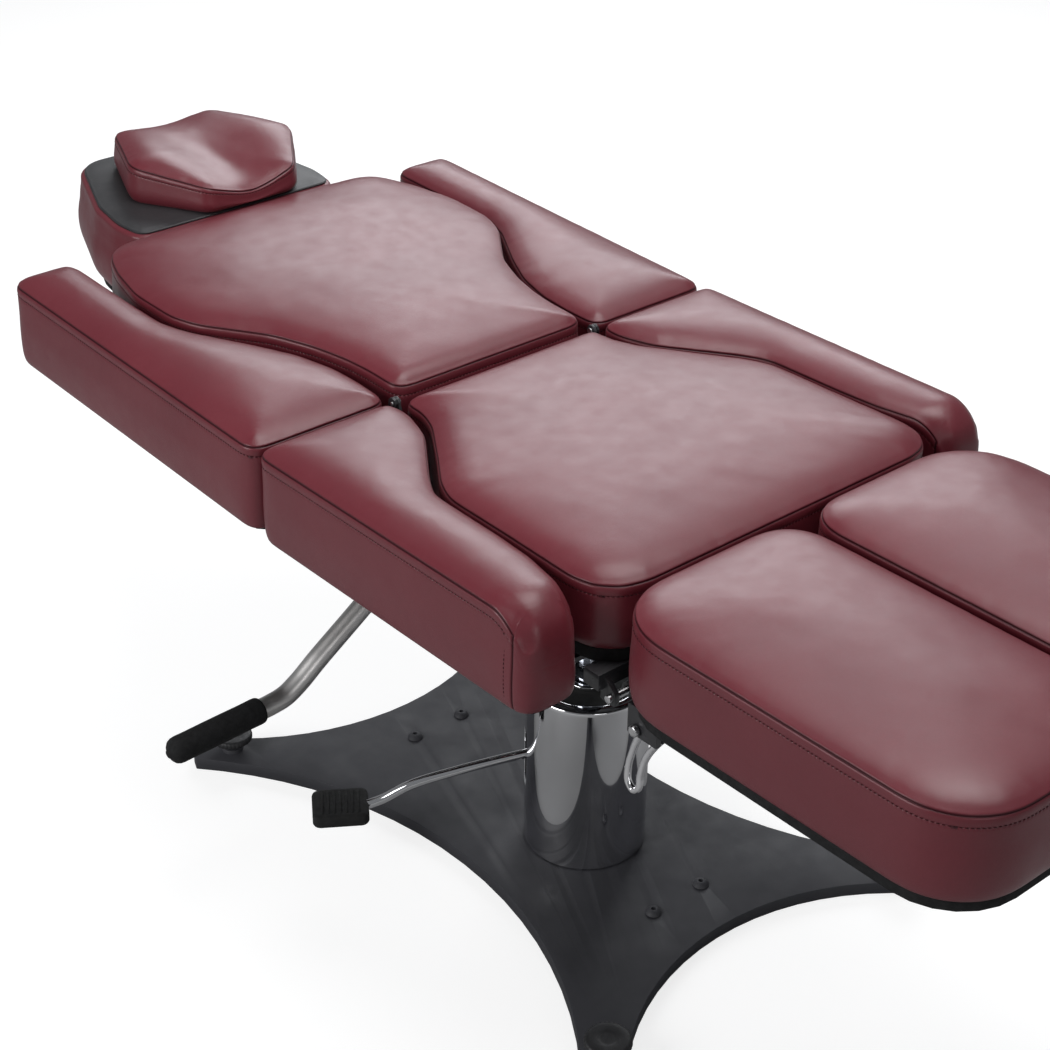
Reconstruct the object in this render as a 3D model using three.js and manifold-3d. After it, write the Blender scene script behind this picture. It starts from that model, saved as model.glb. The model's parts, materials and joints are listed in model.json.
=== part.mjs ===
// Hydraulic split-leg treatment chair, laid flat: a pump pedestal on a four-foot plate carries
// a swivelling seat, a reclining back with a sliding, tilting headrest, and two leg rests that
// drop one at a time.
// Millimetres, +Z up, +Y towards the head, -X the sitter's right (_r), +X the left (_l).
// The origin is the middle of the pump, on the underside of the base plate.
import * as THREE from "three";
import { mergeVertices } from "three/addons/utils/BufferGeometryUtils.js";
import Module from "manifold-3d";

const wasm = await Module();
wasm.setup();

// ---- driving dimensions shared between sections ----
const CLEARANCE = 0.4; // gap between stacked pieces
const PLATE_T = 20; // base plate thickness
const SEAM_Z = 715; // height of the seat's top seam
const GAP_Y = 201; // line between seat and back
const HALF_W = 405; // half of the width over the side pads
const WING_DEPTH = 124; // side pads, under their top seam
const CENTRE_DEPTH = 88; // centre pads, under the seat's or the back's seam
const BOARD_T = 18;
const WING_BOARD_T = 8.5;
const WING_RISE = 17; // crown of the side pads
const WING_INSET = 13;
const BAR_T = 7; // flat crossbars under the side pads
const HINGE_Z = 714; // recline axis
const HINGE = [GAP_Y, HINGE_Z]; // y, z
const HINGE_BORE_R = 3.4;
const LEG_PIVOT = [-347, 579]; // y, z
const LEG_BORE_R = 5.5;
const LEVER_Y = 261; // plane of the recline lever
const LEVER_PIVOT = [0, 500]; // x, z
const LEVER_BORE_R = 4.5;
const SPRING_PIVOT = [285, 540]; // y, z of the gas spring's pivot on the seat frame
const SPRING_X = 38;
const SPRING_BORE_R = 4.4;
const SIDES = Object.entries({ r: -1, l: 1 });

// ---- materials ----
const material = (options) => new THREE.MeshStandardMaterial(options);
const VINYL = material({ color: 0x6e3740, roughness: 0.35, metalness: 0 });
const BLACK_VINYL = material({ color: 0x26262a, roughness: 0.6, metalness: 0 });
const BOARD = material({ color: 0x1c1c1e, roughness: 0.8, metalness: 0 });
const POWDER = material({ color: 0x3f4046, roughness: 0.6, metalness: 0.2 });
const FRAME = material({ color: 0x202124, roughness: 0.5, metalness: 0.4 });
const CHROME = material({ color: 0xe6e6e8, roughness: 0.06, metalness: 1 });
const STEEL = material({ color: 0x9a9a9c, roughness: 0.3, metalness: 1 });
const DARK_STEEL = material({ color: 0x5c6068, roughness: 0.2, metalness: 1 });
const FOAM = material({ color: 0x17171a, roughness: 0.9, metalness: 0 });
const RUBBER = material({ color: 0x1b1b1c, roughness: 0.85, metalness: 0 });
const PLASTIC = material({ color: 0x1e1e20, roughness: 0.5, metalness: 0 });

// ---- solids ----
const RAD = Math.PI / 180;

function toSolid(geometry) {
  const bare = geometry.index ? geometry.toNonIndexed() : geometry.clone();
  for (const key of Object.keys(bare.attributes)) {
    if (key !== "position") bare.deleteAttribute(key);
  }
  const merged = mergeVertices(bare, 1e-3);
  return new wasm.Manifold(new wasm.Mesh({
    numProp: 3,
    vertProperties: new Float32Array(merged.attributes.position.array),
    triVerts: new Uint32Array(merged.index.array),
  }));
}

function toGeometry(solid) {
  const mesh = solid.getMesh();
  const positions = new Float32Array(mesh.numVert * 3);
  for (let i = 0; i < mesh.numVert; i++) {
    const start = i * mesh.numProp;
    positions.set(mesh.vertProperties.subarray(start, start + 3), i * 3);
  }
  const geometry = new THREE.BufferGeometry();
  geometry.setAttribute("position", new THREE.BufferAttribute(positions, 3));
  geometry.setIndex(new THREE.BufferAttribute(new Uint32Array(mesh.triVerts), 1));
  geometry.computeVertexNormals();
  return geometry;
}

const join = (...bodies) => toGeometry(bodies.map(toSolid).reduce((a, b) => a.add(b)));
const cut = (body, ...tools) =>
  toGeometry(tools.map(toSolid).reduce((a, b) => a.subtract(b), toSolid(body)));
const common = (a, b) => toGeometry(toSolid(a).intersect(toSolid(b)));

const box = (x0, x1, y0, y1, z0, z1) =>
  new THREE.BoxGeometry(x1 - x0, y1 - y0, z1 - z0)
    .translate((x0 + x1) / 2, (y0 + y1) / 2, (z0 + z1) / 2);

// round bar between two points
function bar(from, to, radius, segments) {
  const start = new THREE.Vector3(...from);
  const end = new THREE.Vector3(...to);
  const axis = end.clone().sub(start);
  const turn = new THREE.Quaternion()
    .setFromUnitVectors(new THREE.Vector3(0, 1, 0), axis.clone().normalize());
  const middle = start.add(end).multiplyScalar(0.5);
  return new THREE.CylinderGeometry(radius, radius, axis.length(), segments)
    .applyQuaternion(turn)
    .translate(middle.x, middle.y, middle.z);
}
const barX = (x0, x1, [y, z], radius, segments) => bar([x0, y, z], [x1, y, z], radius, segments);
const barY = (y0, y1, [x, z], radius, segments) => bar([x, y0, z], [x, y1, z], radius, segments);
const barZ = (z0, z1, [x, y], radius, segments) => bar([x, y, z0], [x, y, z1], radius, segments);
// upright bars, one at each [x, y] spot
const barsZ = (z0, z1, spots, radius, segments) =>
  spots.map((spot) => barZ(z0, z1, spot, radius, segments));

const lathe = (profile, segments) =>
  new THREE.LatheGeometry(profile.map((point) => new THREE.Vector2(...point)), segments);
// turned body about +Z, from [radius, z] pairs
const turned = (profile, segments) => lathe(profile, segments).rotateX(Math.PI / 2);

const toShape = (points) =>
  new THREE.Shape(points.map(([x, y]) => new THREE.Vector2(x, y)));

// flat plate with an outline in x, y
const prism = (points, z0, z1) =>
  new THREE.ExtrudeGeometry(toShape(points), { depth: z1 - z0, bevelEnabled: false })
    .translate(0, 0, z0);

// plate standing in the YZ plane, with an outline in y, z
const YZ_PLANE = new THREE.Matrix4().set(0, 0, 1, 0, 1, 0, 0, 0, 0, 1, 0, 0, 0, 0, 0, 1);
const cheek = (points, x0, x1) =>
  prism(points, 0, x1 - x0).applyMatrix4(YZ_PLANE).translate(x0, 0, 0);

// flat block bevelled inwards at both faces; z is the foot of its straight sides
const bevelled = (points, z, { depth, thickness, size, segments = 2 }) =>
  new THREE.ExtrudeGeometry(toShape(points), {
    depth,
    bevelEnabled: true,
    bevelThickness: thickness,
    bevelSize: size,
    bevelOffset: -size,
    bevelSegments: segments,
  }).translate(0, 0, z);

// round bar along a smooth path
function bent(path, radius, steps, sides) {
  const circle = Array.from({ length: sides }, (_, i) => {
    const angle = (2 * Math.PI * i) / sides;
    return [radius * Math.cos(angle), radius * Math.sin(angle)];
  });
  const points = path.map((point) => new THREE.Vector3(...point));
  return new THREE.ExtrudeGeometry(toShape(circle), {
    steps,
    bevelEnabled: false,
    extrudePath: new THREE.CatmullRomCurve3(points, false, "centripetal"),
  });
}

// ---- outlines ----
// the arc that rounds one corner; it takes up at most 0.48 of either edge
function cornerArc(corner, before, after, radius, steps) {
  const toBefore = before.sub(corner);
  const toAfter = after.sub(corner);
  const longest = Math.min(toBefore.length(), toAfter.length()) * 0.48;
  toBefore.normalize();
  toAfter.normalize();
  const half = Math.acos(Math.max(-1, Math.min(1, toBefore.dot(toAfter)))) / 2;
  const setback = Math.min(radius / Math.tan(half), longest);
  const fitted = setback * Math.tan(half);
  const centre = toBefore.clone().add(toAfter).normalize()
    .multiplyScalar(fitted / Math.sin(half)).add(corner);
  const start = toBefore.multiplyScalar(setback).add(corner).sub(centre);
  const end = toAfter.multiplyScalar(setback).add(corner).sub(centre);
  const startAngle = Math.atan2(start.y, start.x);
  let sweep = Math.atan2(end.y, end.x) - startAngle;
  while (sweep > Math.PI) sweep -= 2 * Math.PI;
  while (sweep < -Math.PI) sweep += 2 * Math.PI;
  return Array.from({ length: steps + 1 }, (_, i) => {
    const angle = startAngle + (sweep * i) / steps;
    return [centre.x + fitted * Math.cos(angle), centre.y + fitted * Math.sin(angle)];
  });
}

// closed outline with each corner [x, y, radius] rounded
function rounded(corners, steps = 3) {
  const count = corners.length;
  const place = (i) => new THREE.Vector2(...corners[(i + count) % count].slice(0, 2));
  return corners.flatMap(([x, y, radius], i) =>
    radius ? cornerArc(place(i), place(i - 1), place(i + 1), radius, steps) : [[x, y]]);
}

const mirrorX = (points) => points.map(([x, y, radius]) => [-x, y, radius]);
// a +X outline, mirrored for the -X side
const onSide = (side, points) => (side > 0 ? points : mirrorX(points));
// the x range a..b of the +X side, mirrored for the -X side
const span = (side, a, b) => (side > 0 ? [a, b] : [-b, -a]);
// whole outline from its +X half
const bothSides = (half) => [...mirrorX(half), ...[...half].reverse()];

// moves y inwards when it lies at or beyond either end
function insetEnds(y, [low, high], lowInset, highInset) {
  if (y <= low) return y + lowInset;
  return y >= high ? y - highInset : y;
}

// board under a centre pad, from the pad's +X half
const centreBoardPlan = (half, ends, lowInset) =>
  rounded(bothSides(half.map(([x, y, radius]) =>
    [x - 5, insetEnds(y, ends, lowInset, 6), Math.max(radius - 5, 0)])));

// ---- upholstery ----
// pad with straight sides from z0 to the seam, then a crown of the given rise
function pad(outline, z0, seam, rise, inset) {
  const extra = 40; // extra depth, so that the lower bevel is trimmed away
  const block = bevelled(outline, z0 - extra,
    { depth: seam - z0 + extra, thickness: rise, size: inset });
  return common(block, box(-600, 600, -1500, 1500, z0, seam + rise + 1));
}

// side pads and their boards; ends are the y limits past which the board is inset
function addWings(parent, prefix, { plan, outerX, ends, seam, trim }) {
  const boardPlan = plan.map(([x, y, radius]) =>
    [x === outerX ? x - 14 : x + 12, insetEnds(y, ends, 12, 12), radius]);
  const bottom = seam - WING_DEPTH;
  for (const [suffix, side] of SIDES) {
    const block = pad(rounded(onSide(side, plan)), bottom, seam, WING_RISE, WING_INSET);
    addMesh(parent, `${prefix}_wing_${suffix}`, common(block, trim), VINYL);
    addMesh(parent, `${prefix}_wing_board_${suffix}`,
      prism(rounded(onSide(side, boardPlan)), bottom - WING_BOARD_T, bottom - CLEARANCE), BOARD);
  }
}

// rounded top of a recline ear about the hinge, as [y, z] points
const earTop = (y, z) =>
  Array.from({ length: 7 }, (_, i) => {
    const angle = (-20 + (i * 220) / 6) * RAD;
    return [y + 8.5 * Math.cos(angle), z + 8.5 * Math.sin(angle)];
  });

// ---- scene tree ----
function addGroup(parent, y = 0, z = 0, tilt = 0) {
  const group = new THREE.Group();
  group.position.set(0, y, z);
  group.rotation.x = tilt * RAD;
  parent.add(group);
  return group;
}

function addMesh(parent, name, geometry, surface) {
  const mesh = new THREE.Mesh(geometry, surface);
  mesh.name = name;
  parent.add(mesh);
}

const chair = new THREE.Group();

// ---- pedestal ----
const FOOT_X = 284;
const FOOT_Y_HEAD = 509;
const FOOT_Y_LEG = -360;
const FOOT_LOBE_R = 61;
const LEVELLERS = {
  head_r: [-FOOT_X, FOOT_Y_HEAD],
  head_l: [FOOT_X, FOOT_Y_HEAD],
  leg_r: [-FOOT_X, FOOT_Y_LEG],
  leg_l: [FOOT_X, FOOT_Y_LEG],
};
const BASE_BOLTS = [[-47, 347], [47, 347], [-47, -198], [47, -198]];
const PUMP_BOLTS = [45, 135, 225, 315].map((angle) =>
  [66 * Math.cos(angle * RAD), 66 * Math.sin(angle * RAD)]);
const PUMP_BOLT_BORE_R = 5.5;
const PUMP_FOOT_Z = PLATE_T + CLEARANCE;
const CYLINDER_TOP = 285;
const COVER_R = 90;
const COVER_TOP = 298;
const COVER_WALL = 3;
const PEDAL_ANGLE = 146 * RAD; // from +X in plan
const PEDAL_PIVOT = [52, 178]; // radius, z

function basePlate() {
  const endArc = { radius: 406, offset: 325 }; // concave ends; offset is from the feet
  const sideArc = { radius: 669, x: 839 };
  const x = FOOT_X + FOOT_LOBE_R;
  const y0 = FOOT_Y_LEG - FOOT_LOBE_R;
  const y1 = FOOT_Y_HEAD + FOOT_LOBE_R;
  const middleY = (FOOT_Y_HEAD + FOOT_Y_LEG) / 2;
  const corners = [[-x, y0], [x, y0], [x, y1], [-x, y1]].map((spot) => [...spot, FOOT_LOBE_R]);
  const star = cut(prism(rounded(corners, 6), 0, PLATE_T),
    barZ(-5, 30, [0, FOOT_Y_HEAD + endArc.offset], endArc.radius, 72),
    barZ(-5, 30, [0, FOOT_Y_LEG - endArc.offset], endArc.radius, 72),
    barZ(-5, 30, [-sideArc.x, middleY], sideArc.radius, 84),
    barZ(-5, 30, [sideArc.x, middleY], sideArc.radius, 84));
  const feet = Object.values(LEVELLERS);
  return cut(join(star, ...barsZ(10, 26, feet, 17, 12)),
    ...barsZ(-1, 30, feet, 6.6, 8),
    ...barsZ(-1, 8, feet, 24.5, 12),
    ...barsZ(-1, 30, BASE_BOLTS, 6.5, 8),
    ...barsZ(6, 30, PUMP_BOLTS, PUMP_BOLT_BORE_R, 8));
}

const leveller = () => turned([
  [0, 0.5], [22, 0.5], [22, 6.5], [5.8, 7.3], [5.8, 36.5], [14, 38.5],
  [32, 39.5], [32, 47], [29, 50], [0, 50],
], 12);
const baseBolt = () => turned([
  [0, 1], [5.6, 1], [5.6, PUMP_FOOT_Z], [12, PUMP_FOOT_Z], [10, 26], [0, 27.6],
], 8);
const pumpBolt = () => turned([
  [0, 8], [4.8, 8], [4.8, 33.4], [8.5, 33.4], [8.5, 40], [0, 40],
], 6);

function pumpCylinder() {
  const body = turned([
    [0, PUMP_FOOT_Z], [78, PUMP_FOOT_Z], [78, 32], [37, 34],
    [37, CYLINDER_TOP], [22.4, CYLINDER_TOP], [22.4, 38], [0, 38],
  ], 18);
  const drilled = cut(body, ...barsZ(10, 40, PUMP_BOLTS, PUMP_BOLT_BORE_R, 8));
  // pair of lugs that carries the pedal's pivot
  const lug = (y0, y1) => box(33, 59, y0, y1, 163, 193).rotateZ(PEDAL_ANGLE);
  return cut(join(drilled, lug(9, 15), lug(-15, -9)),
    barY(-30, 30, PEDAL_PIVOT, 4.4, 12).rotateZ(PEDAL_ANGLE));
}

function pumpCover() {
  const inner = COVER_R - COVER_WALL;
  const lip = COVER_R - 20;
  const tube = turned([
    [inner, PUMP_FOOT_Z], [COVER_R, PUMP_FOOT_Z], [COVER_R, COVER_TOP - 4],
    [COVER_R - 2.5, COVER_TOP], [lip, COVER_TOP], [lip, COVER_TOP - 5],
    [inner, COVER_TOP - 6], [inner, PUMP_FOOT_Z],
  ], 32);
  const pedalSlot = box(70, 110, -12, 12, 130, 214).rotateZ(PEDAL_ANGLE);
  return cut(tube, pedalSlot);
}

const pumpSeal = () => {
  const bottom = CYLINDER_TOP + CLEARANCE;
  return turned([[23.5, bottom], [66, bottom], [66, 291], [23.5, 294], [23.5, bottom]], 20);
};

// pivots in the cylinder's lugs and comes out through the cover's slot; local +X is outwards
const pedalLever = () => join(
  barY(-8.5, 8.5, PEDAL_PIVOT, 9, 16), // sleeve
  barY(-15.6, 15.6, PEDAL_PIVOT, 4, 12), // pin
  bent([
    [54, 0, 178], [110, 0, 166], [190, 0, 147], [255, 0, 128], [300, 0, 104],
    [330, 0, 95], [352, 0, 94],
  ], 7, 10, 8));

function pedalPad() {
  const outline = rounded([[318, -34, 12], [400, -34, 12], [400, 34, 12], [318, 34, 12]]);
  return cut(bevelled(outline, 87, { depth: 14, thickness: 3, size: 3, segments: 1 }),
    bar([300, 0, 94.3], [354, 0, 94.3], 8.2, 12), // socket of the rod
    box(300, 336, -8.2, 8.2, 94, 130)); // room for the rod as it rises
}

function addPedestal() {
  const base = addGroup(chair);
  addMesh(base, "base_plate", basePlate(), POWDER);
  for (const [name, [x, y]] of Object.entries(LEVELLERS)) {
    addMesh(base, `leveller_${name}`, leveller().translate(x, y, 0), PLASTIC);
  }
  BASE_BOLTS.forEach(([x, y], i) =>
    addMesh(base, `base_bolt_${i + 1}`, baseBolt().translate(x, y, 0), POWDER));
  addMesh(base, "pump_cylinder", pumpCylinder(), FRAME);
  PUMP_BOLTS.forEach(([x, y], i) =>
    addMesh(base, `pump_bolt_${i + 1}`, pumpBolt().translate(x, y, 0), STEEL));
  addMesh(base, "pump_cover", pumpCover(), CHROME);
  addMesh(base, "pump_seal", pumpSeal(), RUBBER);
  const pedal = addGroup(base);
  pedal.rotation.z = PEDAL_ANGLE;
  addMesh(pedal, "pedal_lever", pedalLever(), CHROME);
  addMesh(pedal, "pedal_pad", pedalPad(), RUBBER);
}

// ---- ram ----
const RAM_R = 21.3;
const RAM_LOW = 172;
const RAM_TOP = 540;

function addRam() {
  const ram = addGroup(chair);
  const columnTop = RAM_TOP - CLEARANCE;
  addMesh(ram, "ram_column", turned([
    [0, RAM_LOW], [RAM_R - 1, RAM_LOW], [RAM_R, RAM_LOW + 2], [RAM_R, columnTop], [0, columnTop],
  ], 20), DARK_STEEL);
  addMesh(ram, "ram_flange", turned([
    [0, RAM_TOP], [70, RAM_TOP], [70, RAM_TOP + 9.6], [0, RAM_TOP + 9.6],
  ], 20), FRAME);
  addMesh(ram, "swivel_bearing", turned([
    [24, 550], [66, 550], [66, 555.8], [24, 555.8], [24, 550],
  ], 20), STEEL);
}

// ---- seat ----
const SEAT_FRONT = -344;
const WING_FRONT = -331;
const SEAT_BOARD_TOP = SEAM_Z - CENTRE_DEPTH;
const SEAT_FRAME_TOP = SEAT_BOARD_TOP - BOARD_T - CLEARANCE;
// +X half of the centre pad: x, y, corner radius
const SEAT_HALF = [
  [172, 196, 18], [172, 150, 60], [186, 112, 60], [236, 37, 90], [272, -14, 60], [288, -50, 60],
  [290, -160, 0], [296, SEAT_FRONT, 62],
];
// +X side pad: x, y, corner radius
const SEAT_WING = [
  [HALF_W, 198, 20], [190, 198, 17], [190, 156, 60], [207, 103, 60], [272, 12, 60],
  [297, -30, 60], [300, -160, 60], [304, -220, 0], [326, WING_FRONT, 17],
  [HALF_W, WING_FRONT, 20],
];

// envelope that rounds the top front edge of the side pads
const frontRoll = () => cheek(rounded([
  [WING_FRONT - 0.01, SEAM_Z - WING_DEPTH - 10, 0], [260, SEAM_Z - WING_DEPTH - 10, 0],
  [260, SEAM_Z + 60, 0], [WING_FRONT - 0.01, SEAM_Z + 24, 52],
], 5), -500, 500);

function seatFrame() {
  const top = SEAT_FRAME_TOP;
  const barTop = SEAM_Z - WING_DEPTH - WING_BOARD_T - CLEARANCE;
  const parts = [
    // rails, front and rear crossbars, swivel pad
    box(-135, -105, -320, 186, 566, top), box(105, 135, -320, 186, 566, top),
    box(-298, 298, -336, -310, 587, top),
    box(-172, 172, 150, 178, 566, top),
    box(-140, 140, -100, 100, 562, 569),
    // flat bars under the side pads
    box(-378, 378, -262, -222, barTop - BAR_T, barTop),
    box(-378, 378, 92, 132, barTop - BAR_T, barTop),
    // tongues that carry the lever's lugs and the spring's fork
    box(-46, 26, 88, 290, 556, 563), box(20, 46, 88, 262, 556, 563),
    // lugs of the recline lever
    box(-20, 20, 238, 244.5, 483, 560), box(-20, 20, 277.5, 284, 483, 560),
  ];
  const springFork = [
    [244, 548], [272, 529], [290, 529], [296, 536], [296, 544], [288, 551], [276, 552],
    [262, 562], [244, 562],
  ];
  for (const x of [SPRING_X - 9, SPRING_X + 4.6]) parts.push(cheek(springFork, x, x + 4.4));
  // ears in the creases between centre pad and side pads
  const reclineEar = [
    [146, 566], [186, 566], [194, 640], ...earTop(...HINGE), [172, 660], [146, 612],
  ];
  const legEar = [
    [-330, 608], [-330, 572], [-340, 569], [-354, 570], [-356, 578], [-354, 588], [-340, 600],
  ];
  for (const [, side] of SIDES) {
    parts.push(cheek(reclineEar, ...span(side, 174.5, 178.5)));
    parts.push(box(...span(side, 165, 178.5), 150, 178, 566, 600));
    for (const x of [14, 282]) parts.push(cheek(legEar, ...span(side, x, x + 7)));
  }
  return cut(join(...parts),
    barX(-200, 200, HINGE, HINGE_BORE_R, 12),
    barX(-310, 310, LEG_PIVOT, LEG_BORE_R, 14),
    barY(230, 292, LEVER_PIVOT, LEVER_BORE_R, 12),
    barX(26, 50, SPRING_PIVOT, SPRING_BORE_R, 12));
}

function addSeat() {
  const seat = addGroup(chair);
  addMesh(seat, "swivel_plate",
    turned([[0, 556.2], [74, 556.2], [74, 561.6], [0, 561.6]], 20), FRAME);
  addWings(seat, "seat", {
    plan: SEAT_WING, outerX: HALF_W, ends: [WING_FRONT, 198], seam: SEAM_Z, trim: frontRoll(),
  });
  addMesh(seat, "seat_cushion",
    pad(rounded(bothSides(SEAT_HALF)), SEAT_BOARD_TOP + CLEARANCE, SEAM_Z, 18, 14), VINYL);
  addMesh(seat, "seat_board", prism(centreBoardPlan(SEAT_HALF, [SEAT_FRONT, 196], 6),
    SEAT_BOARD_TOP - BOARD_T, SEAT_BOARD_TOP), BOARD);
  addMesh(seat, "seat_frame", seatFrame(), FRAME);
  for (const [suffix, side] of SIDES) {
    addMesh(seat, `back_hinge_pin_${suffix}`, join(
      barX(side * 173, side * 185, HINGE, 3.1, 12),
      barX(side * 171.5, side * 174.1, HINGE, 5, 12)), STEEL);
  }
  addMesh(seat, "leg_hinge_shaft", barX(-294, 294, LEG_PIVOT, 5.2, 14), STEEL);
  addMesh(seat, "lever_pin", join(
    barY(235, 288, LEVER_PIVOT, 4.2, 12), barY(230, 237.6, LEVER_PIVOT, 8, 6)), STEEL);
  addMesh(seat, "spring_pin", join(
    barX(27, 50, SPRING_PIVOT, 4.1, 12), barX(47.4, 52, SPRING_PIVOT, 7, 6)), STEEL);
}

// ---- recline lever: brushed tube with an S-bend and a foam grip ----
const TUBE_R = 15.2;
const GRIP_R = 19.5;
const GRIP_BORE_R = 15.7;
// centreline of the tube: x, z
const LEVER_PATH = [
  [-5, 497], [-112, 433], [-215, 363], [-282, 318], [-318, 292], [-342, 279.5],
  [-368, 275.5], [-392, 274.6], [-452, 272.6], [-514, 270.5],
];

function reclineLever() {
  const tube = bent(LEVER_PATH.map(([x, z]) => [x, LEVER_Y, z]), TUBE_R, 16, 12);
  const sleeve = barY(LEVER_Y - 16, LEVER_Y + 16, LEVER_PIVOT, 16.4, 14);
  return cut(join(sleeve, tube), barY(240, 282, LEVER_PIVOT, LEVER_BORE_R, 12));
}

// cup from [radius, distance along the tube], sloping with the tube's last stretch
const reclineGrip = () => lathe([
  [GRIP_BORE_R, 0], [GRIP_R, 2], [GRIP_R, 136], [GRIP_BORE_R, 146.5], [0, 151],
  [0, 138], [GRIP_BORE_R, 138], [GRIP_BORE_R, 0],
], 16)
  .rotateZ(Math.PI / 2)
  .rotateY(-Math.atan2(2.1, 62))
  .translate(-383, LEVER_Y, 274.9);

function addLever() {
  const lever = addGroup(chair);
  addMesh(lever, "recline_lever", reclineLever(), STEEL);
  addMesh(lever, "recline_grip", reclineGrip(), FOAM);
}

// ---- back: local y runs from the gap to the head, local z from the recline axis ----
const BACK_LEN = 624;
const BACK_TILT = 2.13; // degrees the back lies above level
const BACK_CENTRE_UP = 12; // the centre pad stands this much above the side pads
const BACK_SEAM = SEAM_Z - HINGE_Z;
const BACK_BOARD_TOP = BACK_SEAM - CENTRE_DEPTH;
const BACK_FRAME_TOP = BACK_BOARD_TOP - BOARD_T - CLEARANCE;
const BACK_OUTER_X = HALF_W - 1;
const POST_X = 70; // headrest posts, which slide in the frame's rails
const POST_Z = BACK_FRAME_TOP - 14;
// +X half of the centre pad: x, y, corner radius
const BACK_HALF = [
  [167, 5, 19], [167, 70, 90], [171, 115, 90], [184, 172, 90], [210, 238, 90], [276, 328, 70],
  [291, 372, 60], [293, 462, 90], [276, 540, 60], [246, BACK_LEN - 6, 60],
  [150, BACK_LEN + 1, 0],
];
// +X side pad: x, y, corner radius
const BACK_WING = [
  [189, 5, 17], [187, 70, 60], [190, 122, 60], [206, 184, 60], [236, 245, 60], [286, 330, 60],
  [302, 376, 60], [304, 450, 0], [304, BACK_LEN, 18], [BACK_OUTER_X, BACK_LEN, 20],
  [BACK_OUTER_X, 5, 20],
];

function backFrame() {
  const top = BACK_FRAME_TOP;
  const bottom = top - 28; // underside of the rails
  const barTop = BACK_SEAM - WING_DEPTH - WING_BOARD_T - CLEARANCE;
  const barLow = barTop - BAR_T;
  const springFork = [[402, -108], [408, -150], [432, -150], [438, -108]];
  const reclineEar = [[14, top - 26], [52, top - 26], [46, -70], ...earTop(0, 0), [6, -60]];
  const parts = [
    box(-380, 380, 470, 500, barLow, barTop),
    box(-90, 90, 585, 600, bottom, top),
    // fork of the gas spring, on the inside of a rail
    box(27, 57, 402, 438, -112, top),
    cheek(springFork, 27, 31),
    cheek(springFork, 45, 49),
  ];
  for (const [, side] of SIDES) {
    const rail = span(side, POST_X - 14, POST_X + 14);
    parts.push(
      box(...rail, 20, 600, bottom, top),
      // crossbars towards the side pads and the ears
      box(...span(side, POST_X - 14, 380), 118, 148, barLow, barTop),
      box(...span(side, POST_X - 14, 183.5), 14, 38, top - 26, top),
      // blocks that join the crossbars to the rail
      box(...rail, 118, 148, barLow, top - 10),
      box(...rail, 470, 500, barLow, top - 10),
      cheek(reclineEar, ...span(side, 179.5, 183.5)));
  }
  return cut(join(...parts),
    barX(-200, 200, [0, 0], HINGE_BORE_R, 12),
    barY(380, 605, [-POST_X, POST_Z], 8, 14),
    barY(380, 605, [POST_X, POST_Z], 8, 14));
}

function addBack() {
  const back = addGroup(chair, ...HINGE, BACK_TILT);
  // trims the foot edge, so that the back can swing up past the seat
  const swingRoom = cheek(
    [[0, -200], [700, -200], [700, 60], [61, 60], [5, 0], [0, 0]], -500, 500);
  addWings(back, "back", {
    plan: BACK_WING, outerX: BACK_OUTER_X, ends: [5, BACK_LEN], seam: BACK_SEAM, trim: swingRoom,
  });
  const cushion = pad(rounded(bothSides(BACK_HALF)),
    BACK_BOARD_TOP + CLEARANCE, BACK_SEAM + BACK_CENTRE_UP, 16, 15);
  addMesh(back, "back_cushion", common(cushion, swingRoom), VINYL);
  addMesh(back, "back_board", prism(centreBoardPlan(BACK_HALF, [5, BACK_LEN - 6], 7),
    BACK_BOARD_TOP - BOARD_T, BACK_BOARD_TOP), BOARD);
  addMesh(back, "back_frame", backFrame(), FRAME);
  return back;
}

// ---- gas spring, from the seat frame to the back's fork (its head end is free) ----
const SPRING_TILT = 9.1; // degrees it rises towards the head when the back is flat
const SPRING_LEN = 345; // pivot to pivot when the back is flat

function addSpring() {
  const spring = addGroup(chair, ...SPRING_PIVOT, SPRING_TILT);
  const axis = [SPRING_X, 0];
  const barrel = join(
    barX(SPRING_X - 3.2, SPRING_X + 3.2, [0, 0], 10, 14), // eye
    barY(6, 18, axis, 3.1, 8),
    barY(16, SPRING_LEN - 60, axis, 11, 14));
  addMesh(spring, "spring_barrel", cut(barrel,
    barX(SPRING_X - 10, SPRING_X + 10, [0, 0], SPRING_BORE_R, 12),
    barY(24, SPRING_LEN - 50, axis, 4.6, 12)), FRAME);
  addMesh(spring, "spring_rod", join(
    barY(30, SPRING_LEN - 8, axis, 4.2, 12),
    barX(SPRING_X - 3, SPRING_X + 3, [SPRING_LEN, 0], 9.5, 14)), CHROME);
}

// ---- headrest, in the back's frame ----
const HEAD_Y0 = 630;
const HEAD_TOP = 15;
const HEAD_BOTTOM = -120;
const HEAD_PIVOT_Y = 641;
const HEAD_PIVOT_Z = -137;
const HEAD_PIVOT = [HEAD_PIVOT_Y, HEAD_PIVOT_Z];
const HEAD_BORE_R = 4.4;
const PILLOW_X = 26;
// +X half of the headrest: x, y, corner radius
const HEAD_HALF = [
  [184, HEAD_Y0, 24], [191, 690, 60], [180, 765, 90], [122, 915, 60], [92, 936, 50],
];
// pillow hexagon about its own middle: x, y, corner radius
const PILLOW = [
  [-80, 631, 24], [80, 631, 24], [153, 742, 34], [92, 893, 30], [-92, 893, 30], [-153, 742, 34],
];

// headrest outline, grown at the sides and the head end
const headPlan = (grow) => rounded(bothSides(HEAD_HALF.map(([x, y, radius]) =>
  [x + grow, y + (y > 900 ? grow : 0), radius + grow])));

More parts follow.
